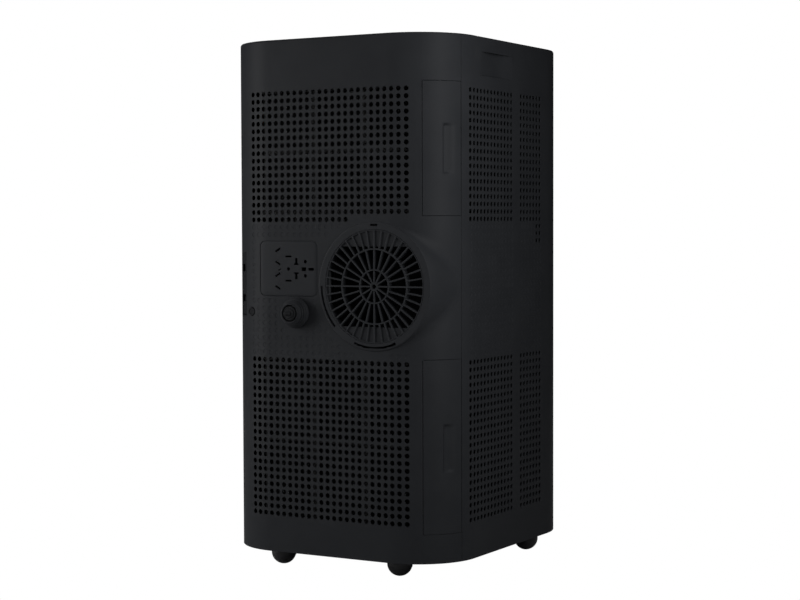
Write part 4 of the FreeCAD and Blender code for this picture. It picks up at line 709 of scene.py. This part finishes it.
def side_panel(name, side):
    """A side wall with two fields of holes and a finger pocket that fades out at both ends."""
    start_y, pocket_y, half, depth = 127.8, 47.5, 47.5, 4.5
    ys = steps(start_y, start_y - 24 * PITCH, 24 * BLOCK)
    rear = [SEAM + 0.28, SEAM + 0.28 + EDGE_CELL] + steps(74.0, 78.0, 2)
    front = steps(88.0, 50.0, 10) + [45.14 + EDGE_CELL, 45.14]
    columns = [arc_column(angle, side, 1) for angle in rear]
    first = len(columns)
    columns += [y_column(y, side) for y in ys]
    columns += [arc_column(angle, side, -1) for angle in front]
    panel = Panel(columns, LEVELS, INSETS, way=-1)

    def column(y):
        return first + round((start_y - y) / CELL)

    def surface(y, z, inset):
        return (drill_x(y, inset, side), y, z)

    for row in range(ROWS):
        for number in [*range(13), *range(15, 22)]:
            y, z = start_y - PITCH * (number + 0.5), row_z(row)
            blind = row in BLIND_ROWS and (row > BLIND_ROWS[2] or number < 20)
            panel.tile(column(y + PITCH / 2), level(z - PITCH / 2), y, z, surface, blind)
    low, high = level(HANDLE[0]), level(HANDLE[1])
    start, end = column(pocket_y + half), column(pocket_y - half)
    panel.clear(start, end, low, high, GONE)
    panel.flush = {start, end}
    shell = panel.build()
    pocket = []
    for y in ys[start - first:end - first + 1]:
        off = min(1.0, abs(y - pocket_y) / half)
        pocket.append((y, depth * (1 - off ** 2) ** 1.35))
    pocket[0], pocket[-1] = (pocket[0][0], 0.0), (pocket[-1][0], 0.0)
    front_rows = [[(side * (HALF_X - deep), y, z) for y, deep in pocket]
                  for z in LEVELS[low:high + 1]]
    back_rows = [[(side * (HALF_X - deep - WALL), y, z) for y, deep in pocket]
                 for z in (HANDLE[0] - 2.0, HANDLE[1] + 2.0)]
    for a, b in zip(front_rows, front_rows[1:]):
        shell.strip(a, b, closed=False)
    for z, row in zip(HANDLE, (front_rows[0], front_rows[-1])):
        lip = [(side * (HALF_X - CHAMFER), y, z) for y, _ in pocket]
        lip[0], lip[-1] = row[0], row[-1]
        shell.strip(row, lip, closed=False)
    shell.strip(back_rows[0], back_rows[1], closed=False)
    for row in back_rows:
        wall = [(side * (HALF_X - WALL + 0.3), y, z) for _, y, z in row]
        shell.strip(row, wall, closed=False)
    make(f"{name}_shell", shell, "casing_plastic", "casing", [name])


def front_panel():
    half = 135.0
    xs = [-half, CHAMFER - half] + steps(-132.5, 132.5, 22) + [half - CHAMFER, half]
    corner = [44.86, 44.86 - EDGE_CELL] + steps(42.0, 32.0, 4)
    columns = [arc_column(angle, -1, -1) for angle in corner]
    first, last = len(columns), len(columns) + len(xs) - 1
    columns += [x_column(x, -1) for x in xs]
    columns += [arc_column(angle, 1, -1) for angle in corner[::-1]]
    low, high = OUTLET
    levels, insets = with_edges(steps(40.0, 600.0, 14) + [low - CHAMFER, low, 650.0]
                                + [high, high + CHAMFER, 704.0])
    panel = Panel(columns, levels, insets)
    panel.clear(first, last, levels.index(low), levels.index(high), GONE)
    make("front_panel_shell", panel.build(), "casing_plastic", "casing", ["front_panel"])


# ---- filter tabs -----------------------------------------------------------------------------

def filter_tab(name, low, high, grip_low, grip_high):
    """A curved tab with a finger grip: a step that is sharp on one side and fades out on the
    other."""
    low, high = low + 0.4, high - 0.4
    start, end, step_start, fade_start = 33.3, 71.1, 51.6, 55.0
    angles = [start, start + EDGE_CELL] + steps(36.0, 50.0, 5)
    angles += steps(step_start, 54.4, 4) + steps(55.5, 66.0, 7) + [68.5, end - EDGE_CELL, end]
    ends = 7.0
    zs = [low, low + CHAMFER] + steps(low + 8, grip_low - ends - 4, 6)
    zs += steps(grip_low - ends, grip_low + ends, 8)
    zs += steps(grip_low + 2 * ends, grip_high - 2 * ends, 6)
    zs += steps(grip_high - ends, grip_high + ends, 8)
    zs += steps(grip_high + ends + 4, high - 8, 6) + [high - CHAMFER, high]

    def ease(t):
        t = max(0.0, min(1.0, t))
        return t * t * (3 - 2 * t)

    def sink(angle, z):
        enters = ease((angle - step_start) / 2.0)
        leaves = 1 - ease((angle - fade_start) / 10.0)
        tall = ease((z - grip_low + 2.0) / 4.5) * ease((grip_high + 2.0 - z) / 4.5)
        return 3.4 * enters * leaves * tall

    shell = Shell()

    def outer(a, z):
        edge = a in (start, end) or z in (low, high)
        return arc(a, CHAMFER if edge else sink(a, z), -1, 1) + (z,)

    def inner(a, z):
        return arc(a, WALL + 0.8 * sink(a, z), -1, 1) + (z,)

    for a, b in zip(angles, angles[1:]):
        for c, d in zip(zs, zs[1:]):
            shell.face(outer(a, c), outer(b, c), outer(b, d), outer(a, d))
            shell.face(inner(a, c), inner(b, c), inner(b, d), inner(a, d))
    for z in (low, high):
        shell.strip([outer(a, z) for a in angles], [inner(a, z) for a in angles], closed=False)
    for a in (start, end):
        shell.strip([outer(a, z) for z in zs], [inner(a, z) for z in zs], closed=False)
    for z in (low + 14, high - 26):
        bar(shell, (-143.5, 175.0, z), (-131.2, 180.0, z + 12.0))
    make(f"{name}_tab_shell", shell, "casing_plastic", name, [f"{name}_tab"])


def bar(shell, low, high, edge=0.25, move=None):
    """A box from corner to corner with its edges taken off."""
    rings = []
    for inset, z in ((edge, low[2]), (0.0, low[2] + edge), (0.0, high[2] - edge), (edge, high[2])):
        a, b = low[0] + inset, high[0] - inset
        c, d = low[1] + inset, high[1] - inset
        ring = [(a + edge, c, z), (b - edge, c, z), (b, c + edge, z), (b, d - edge, z),
                (b - edge, d, z), (a + edge, d, z), (a, d - edge, z), (a, c + edge, z)]
        rings.append([move(p) for p in ring] if move else ring)
    for first, second in zip(rings, rings[1:]):
        shell.strip(first, second)
    shell.cap(rings[0])
    shell.cap(rings[-1])


# ---- exhaust grille --------------------------------------------------------------------------

def exhaust_grille():
    """Spokes in three fields between four rings, and a floor that is open in the middle."""
    face, depth, outer, rim, spoke = FACE_Y - 0.3, 8.0, 75.0, 1.6, 2.2
    shell = Shell()
    for high, low, deep, count in ((outer, outer - rim, 12.0, 144), (23.1, 20.9, depth, 96),
                                   (50.6, 48.4, depth, 120), (6.0, 3.0, depth, 48)):
        edge = 0.3
        lathe(shell, [(low, face - deep), (low, face - edge), (low + edge, face),
                      (high - edge, face), (high, face - edge), (high, face - deep)],
              (BOSS_X, 0.0, BOSS_Z), (0, 1, 0), count)
    for count, low, high in ((12, 5.6, 21.2), (24, 22.8, 48.7), (40, 50.3, 74.0)):
        for number in range(count):
            angle = 2 * math.pi * number / count
            c, s = math.cos(angle), math.sin(angle)

            def move(p, c=c, s=s):
                return (BOSS_X + c * p[0] - s * p[2], p[1], BOSS_Z + s * p[0] + c * p[2])

            bar(shell, (low, face - depth, -spoke / 2), (high, face, spoke / 2), 0.3, move)
    grille_floor(shell, face - 2.0, face - 2.0 - WALL, outer - rim / 2)
    make("exhaust_grille_piece", shell, "casing_plastic", "casing", ["exhaust_grille"])


def grille_floor(shell, front, back, radius):
    """The closed segments above and below the air opening, and the strip beside it."""
    low, high, right = 335.5 - BOSS_Z, 441.7 - BOSS_Z, -5.5 - BOSS_X

    def plate(outline):
        a = [(BOSS_X + x, front, BOSS_Z + z) for x, z in outline]
        b = [(BOSS_X + x, back, BOSS_Z + z) for x, z in outline]
        shell.strip(a, b)
        shell.cap(a)
        shell.cap(b)

    def on_circle(first, last, count=40):
        return [(radius * math.cos(t), radius * math.sin(t)) for t in steps(first, last, count)]

    for z in (high, low):
        t = math.asin(z / radius)
        plate(on_circle(t, math.pi - t) if z > 0 else on_circle(math.pi - t, 2 * math.pi + t))
    edge = math.acos(right / radius)
    spots = on_circle(-edge, edge, 24)
    plate([p for p in spots if low < p[1] < high])


# ---- plug plate ------------------------------------------------------------------------------

def prism(shape, y0, y1):
    """A mesh whose section is a shape of (x, z) points."""
    mesh = bpy.data.meshes.new("cutter")
    area = sum(a[0] * b[1] - b[0] * a[1] for a, b in zip(shape, shape[1:] + shape[:1]))
    shape = shape if area > 0 else shape[::-1]
    count = len(shape)
    points = [(x * MM, (y + MID_Y) * MM, z * MM) for y in (y0, y1) for x, z in shape]
    faces = [list(range(count))[::-1], list(range(count, 2 * count))]
    faces += [[k, (k + 1) % count, count + (k + 1) % count, count + k] for k in range(count)]
    mesh.from_pydata(points, [], faces)
    return mesh


def cut_through(piece, shapes):
    """Cuts holes with sections of (x, z) points through a piece on the back."""
    joined = bmesh.new()
    for shape in shapes:
        joined.from_mesh(prism(shape, 180.0, 210.0))
    bmesh.ops.recalc_face_normals(joined, faces=joined.faces)
    mesh = bpy.data.meshes.new("plate_cutter")
    joined.to_mesh(mesh)
    joined.free()
    tool = bpy.data.objects.new("plate_cutter", mesh)
    bpy.context.scene.collection.objects.link(tool)
    cutting = piece.modifiers.new("slots", "BOOLEAN")
    cutting.operation = "DIFFERENCE"
    cutting.solver = "EXACT"
    cutting.object = tool
    bpy.context.view_layer.update()
    done = bpy.data.meshes.new_from_object(
        piece.evaluated_get(bpy.context.evaluated_depsgraph_get()))
    piece.modifiers.clear()
    piece.data = done
    bpy.data.objects.remove(tool)
    done.set_sharp_from_angle(angle=math.radians(28.0))


def plug_plate():
    """The parking plate: a rounded plate that follows the wall, with pin slots through it."""
    x0, z0 = PLATE_X, PLATE_Z
    shell = Shell()

    def outline(grow, count=10):
        spots = []
        for cx, cz, start in ((1, 1, 0), (-1, 1, 90), (-1, -1, 180), (1, -1, 270)):
            for k in range(count + 1):
                t = math.radians(start + 90 * k / count)
                r = PLATE_CORNER + grow
                spots.append((x0 + cx * (PLATE_HALF_X - PLATE_CORNER) + r * math.cos(t),
                              z0 + cz * (PLATE_HALF_Z - PLATE_CORNER) + r * math.sin(t)))
        return spots

    def row(grow, inset):
        return [(x, drill_y(x, inset), z) for x, z in outline(grow)]

    face, back = 0.4, WALL + 2.0
    rows = [row(-6.0, face), row(-0.7, face), row(-0.2, face + 0.12), row(0.0, face + 0.4),
            row(0.0, WALL + 0.5), row(3.0, WALL + 0.5), row(3.0, back), row(-6.0, back)]
    for first, second in zip(rows, rows[1:]):
        shell.strip(first, second)
    shell.cap(rows[0])
    shell.cap(rows[-1])
    piece = make("plug_plate_piece", shell, "casing_plastic", "casing", ["plug_plate"])
    cutters = []

    def slot(x, z, length, width, lean=0.0):
        c, s = math.cos(math.radians(lean)), math.sin(math.radians(lean))
        spots = []
        for a, b in ((-0.5, -0.5), (0.5, -0.5), (0.5, 0.5), (-0.5, 0.5)):
            u, v = a * length, b * width
            spots.append((x + c * u + s * v, z - s * u + c * v))
        cutters.append(spots)

    def hole(x, z, radius, count=24):
        cutters.append([(x + radius * math.cos(2 * math.pi * k / count),
                         z + radius * math.sin(2 * math.pi * k / count)) for k in range(count)])

    for dz, lean in ((25, -30), (7.6, 30), (-8.4, -30), (-25.8, 30)):
        slot(x0 + 17.2, z0 + dz, 9.3, 2.6, -lean)
    for dz in (16.4, -16.4):
        slot(x0, z0 + dz, 9.8, 2.4)
        hole(x0 - 27.2, z0 + dz * 0.58, 2.5)
        foot, leg = z0 + dz * 0.37, z0 + dz * 0.62
        way = 1 if dz > 0 else -1
        near, knee, far = foot - way, foot + way, leg + 4.0 * way
        x = x0 - 12.6
        cutters.append([(x - 3.8, near), (x + 3.8, near), (x + 3.8, knee), (x + 2.0, knee),
                         (x + 2.0, far), (x - 2.0, far), (x - 2.0, knee), (x - 3.8, knee)])
    hole(x0, z0 - 0.6, 2.4)
    slot(x0 - 24.6, z0 - 0.6, 7.6, 5.0)
    slot(x0 - 36.4, z0 - 0.6, 9.0, 3.6)
    slot(x0 + 14.4, z0 - 1.6, 4.0, 1.4, 30)
    cut_through(piece, cutters)


# ---- drain port and cord gland ---------------------------------------------------------------

def drain_port():
    """A seal, a tapered collar with three ribs, and a stopper with a long nub."""
    seat = HALF_Y + FIT
    washer = Shell()
    lathe(washer, [(11.3, seat), (11.3, seat + 1.8), (18.8, seat + 1.8), (19.3, seat + 1.3),
                   (19.3, seat)], DRAIN, (0, 1, 0), 96)
    make("drain_washer_piece", washer, "rubber", "drain_washer", ["drain_washer"])

    base = seat + 1.8
    band, tip = base + 5.0, base + 16.5
    slope = 6.0 / 11.5
    profile = [(11.3, base), (19.9, base), (20.3, base + 0.4), (20.3, band - 0.5),
               (20.0, band + 0.1)]
    for number in range(3):
        start = band + 0.6 + 3.0 * number
        radius = 19.9 - slope * (start - band)
        profile += [(radius - 0.8, start), (radius - 0.8, start + 1.0), (radius - 0.2, start + 1.3),
                    (radius, start + 1.6), (radius - 0.2, start + 2.1), (radius - 0.5, start + 2.6)]
    profile += [(13.3, tip - 1.1), (13.2, tip - 0.5), (12.8, tip - 0.1), (12.4, tip),
                (11.9, tip - 0.1), (11.4, tip - 0.6), (11.3, tip - 1.2)]
    collar = Shell()
    lathe(collar, profile, DRAIN, (0, 1, 0), 128)
    make("drain_collar_piece", collar, "casing_plastic", "drain_collar", ["drain_collar"],
         sharp=35.0)

    plug = Shell()
    shoulder, reach = HALF_Y + 13.1, HALF_Y + 30.0
    lathe(plug, [(0.01, shoulder - 9.0), (7.0, shoulder - 9.0), (7.4, shoulder - 8.6),
                 (7.4, shoulder), (9.0, shoulder), (9.4, shoulder + 0.4), (9.4, shoulder + 5.6),
                 (9.0, shoulder + 6.4), (8.2, shoulder + 6.6), (7.4, shoulder + 6.2),
                 (6.6, shoulder + 6.4), (6.4, shoulder + 8.6), (6.0, shoulder + 9.2),
                 (4.6, shoulder + 9.2), (4.0, shoulder + 8.9), (3.4, shoulder + 9.4),
                 (2.6, reach - 3.0), (2.2, reach - 1.0), (1.6, reach - 0.3), (0.8, reach),
                 (0.01, reach)],
          DRAIN, (0, 1, 0), 64)
    make("drain_plug_piece", plug, "rubber", "drain_plug", ["drain_plug"], sharp=40.0)


def cord_gland():
    """The rubber gland of the mains cord; a thin membrane closes its mouth."""
    face = drill_y(GLAND[0], 0.0)
    gland = Shell()
    lathe(gland, [(0.01, face - 9.0), (GLAND_RADIUS, face - 9.0), (GLAND_RADIUS, face),
                  (4.9, face + 1.5), (4.1, face + 1.5), (3.6, face + 1.2), (3.6, face + 0.9),
                  (0.01, face + 0.9)],
          GLAND, (0, 1, 0), 48)
    make("cord_gland_piece", gland, "rubber", "casing", ["cord_gland"])


# ---- casters ---------------------------------------------------------------------------------

# The name, the swivel's place and the degrees that the ball trails at
CASTERS = (("rear_left", -93.0, 148.7, 30.0), ("rear_right", 93.0, 148.7, 30.0),
           ("front_left", -138.0, -102.4, 210.0), ("front_right", 138.0, -102.4, 30.0))


def caster_ball(name, x, y, heading):
    """Two domed halves on an axle, with a gap between them for the yoke."""
    radius, trail, gap, bore, hub = 17.3, 9.0, 5.0, 2.6, 6.0
    height = math.sqrt(radius ** 2 - gap ** 2 / 4)
    c, s = math.cos(math.radians(heading)), math.sin(math.radians(heading))
    centre = (x + trail * c, y + trail * s, height)
    edge, cap = gap / 2 + 0.02, radius * 0.993
    profile = [(bore, edge), (radius * 0.55, edge), (radius * 0.93, edge),
               (math.sqrt(radius ** 2 - (edge + 0.3) ** 2) - 0.12, edge + 0.05)]
    for degrees in steps(9.5, 84.0, 14):
        t = math.radians(degrees)
        profile.append((radius * math.cos(t), radius * math.sin(t)))
    profile += [(1.2, cap), (0.01, cap), (0.01, edge + hub), (bore, edge + hub)]
    shell = Shell()
    for way in (-1.0, 1.0):
        lathe(shell, profile, centre, (-s * way, c * way, 0.0), 72)
    lathe(shell, [(0.01, -hub), (bore - 0.15, -hub), (bore - 0.15, hub), (0.01, hub)], centre,
          (-s, c, 0.0), 32)
    make(f"caster_ball_{name}_piece", shell, "caster_plastic", f"caster_ball_{name}",
         [f"caster_ball_{name}"], sharp=40.0)


rear_cover()
side_panel("side_panel_left", -1)
side_panel("side_panel_right", 1)
front_panel()
filter_tab("upper_filter", *UPPER_TAB, 537.5, 601.0)
filter_tab("lower_filter", *LOWER_TAB, 146.0, 207.0)
exhaust_grille()
plug_plate()
drain_port()
cord_gland()
for caster in CASTERS:
    caster_ball(*caster)


# ---- studio ----------------------------------------------------------------------------------

WHITE = (1.0, 1.0, 1.0, 1)


def surface_light(name, place, aim, size, power):
    data = bpy.data.lights.new(name, "AREA")
    data.shape = "RECTANGLE"
    data.size, data.size_y = size
    data.energy = power
    item = bpy.data.objects.new(name, data)
    item.location = place
    item.rotation_mode = "QUATERNION"
    item.rotation_quaternion = (Vector(aim) - Vector(place)).to_track_quat("-Z", "Y")
    bpy.context.scene.collection.objects.link(item)


def show_instead(tree, lit, shown, output):
    """Lights the set by one shader and shows another in its place."""
    path = node(tree, "ShaderNodeLightPath")
    mix = node(tree, "ShaderNodeMixShader")
    tree.links.new(path.outputs["Is Camera Ray"], mix.inputs[0])
    tree.links.new(lit.outputs[0], mix.inputs[1])
    tree.links.new(shown.outputs[0], mix.inputs[2])
    tree.links.new(mix.outputs[0], tree.nodes[output].inputs["Surface"])


def white_world():
    """A white surrounding that gives next to no light."""
    world = bpy.data.worlds.new("studio")
    bpy.context.scene.world = world
    world.use_nodes = True
    tree = world.node_tree
    background = tree.nodes["Background"]
    background.inputs["Color"].default_value = WHITE
    background.inputs["Strength"].default_value = 0.02
    shown = node(tree, "ShaderNodeBackground", Color=WHITE, Strength=1.0)
    show_instead(tree, background, shown, "World Output")


def white_floor():
    """A plain floor that looks white and throws little light back."""
    mesh = bpy.data.meshes.new("floor")
    size = 30.0
    mesh.from_pydata([(-size, -size, 0), (size, -size, 0), (size, size, 0), (-size, size, 0)],
                     [], [(0, 1, 2, 3)])
    paint = bpy.data.materials.new("floor_paint")
    paint.use_nodes = True
    shader = paint.node_tree.nodes["Principled BSDF"]
    shader.inputs["Base Color"].default_value = (0.5, 0.5, 0.5, 1)
    shader.inputs["Roughness"].default_value = 0.9
    shader.inputs["Specular IOR Level"].default_value = 0.05
    glow = node(paint.node_tree, "ShaderNodeEmission", Strength=1.0)
    show_instead(paint.node_tree, shader, glow, "Material Output")
    mesh.materials.append(paint)
    ground = bpy.data.objects.new("floor", mesh)
    bpy.context.scene.collection.objects.link(ground)


def studio():
    white_world()
    white_floor()
    surface_light("left_near", (0.85, 0.6, 0.55), (0.1, 0.15, 0.45), (0.3, 0.9), 3.9)
    surface_light("left_window", (1.3, 1.2, 0.7), (0.1, 0.1, 0.4), (0.6, 1.2), 10.5)
    surface_light("right_near", (-0.56, 0.31, 0.60), (-0.15, 0.1, 0.42), (0.2, 0.8), 3.0)
    surface_light("camera_fill", (-0.9, 3.2, 1.5), (0.0, 0.0, 0.4), (1.6, 1.6), 12.0)
    surface_light("front_window", (1.5, -2.3, 1.1), (0.1, 0.0, 0.4), (1.0, 1.2), 36.0)
    surface_light("overhead", (0.0, 0.0, 1.9), (0.0, 0.0, 0.7), (0.28, 0.28), 2.0)


def camera():
    data = bpy.data.cameras.new("camera")
    data.sensor_width = 36.0
    data.lens = 81.18
    item = bpy.data.objects.new("camera", data)
    forward = Vector((0.4990, -0.8656, -0.0411)).normalized()
    level_right = Vector((-0.8664, -0.4994, 0.0)).normalized()
    down = forward.cross(level_right).normalized()
    roll = math.radians(0.177)
    right = level_right * math.cos(roll) + down * math.sin(roll)
    up = right.cross(forward)
    turn = Matrix((right, up, -forward)).transposed()
    item.matrix_world = Matrix.Translation((-1.2862, 2.2192, 0.4688)) @ turn.to_4x4()
    bpy.context.scene.collection.objects.link(item)
    bpy.context.scene.camera = item


studio()
camera()
bpy.context.scene.view_settings.view_transform = "Standard"
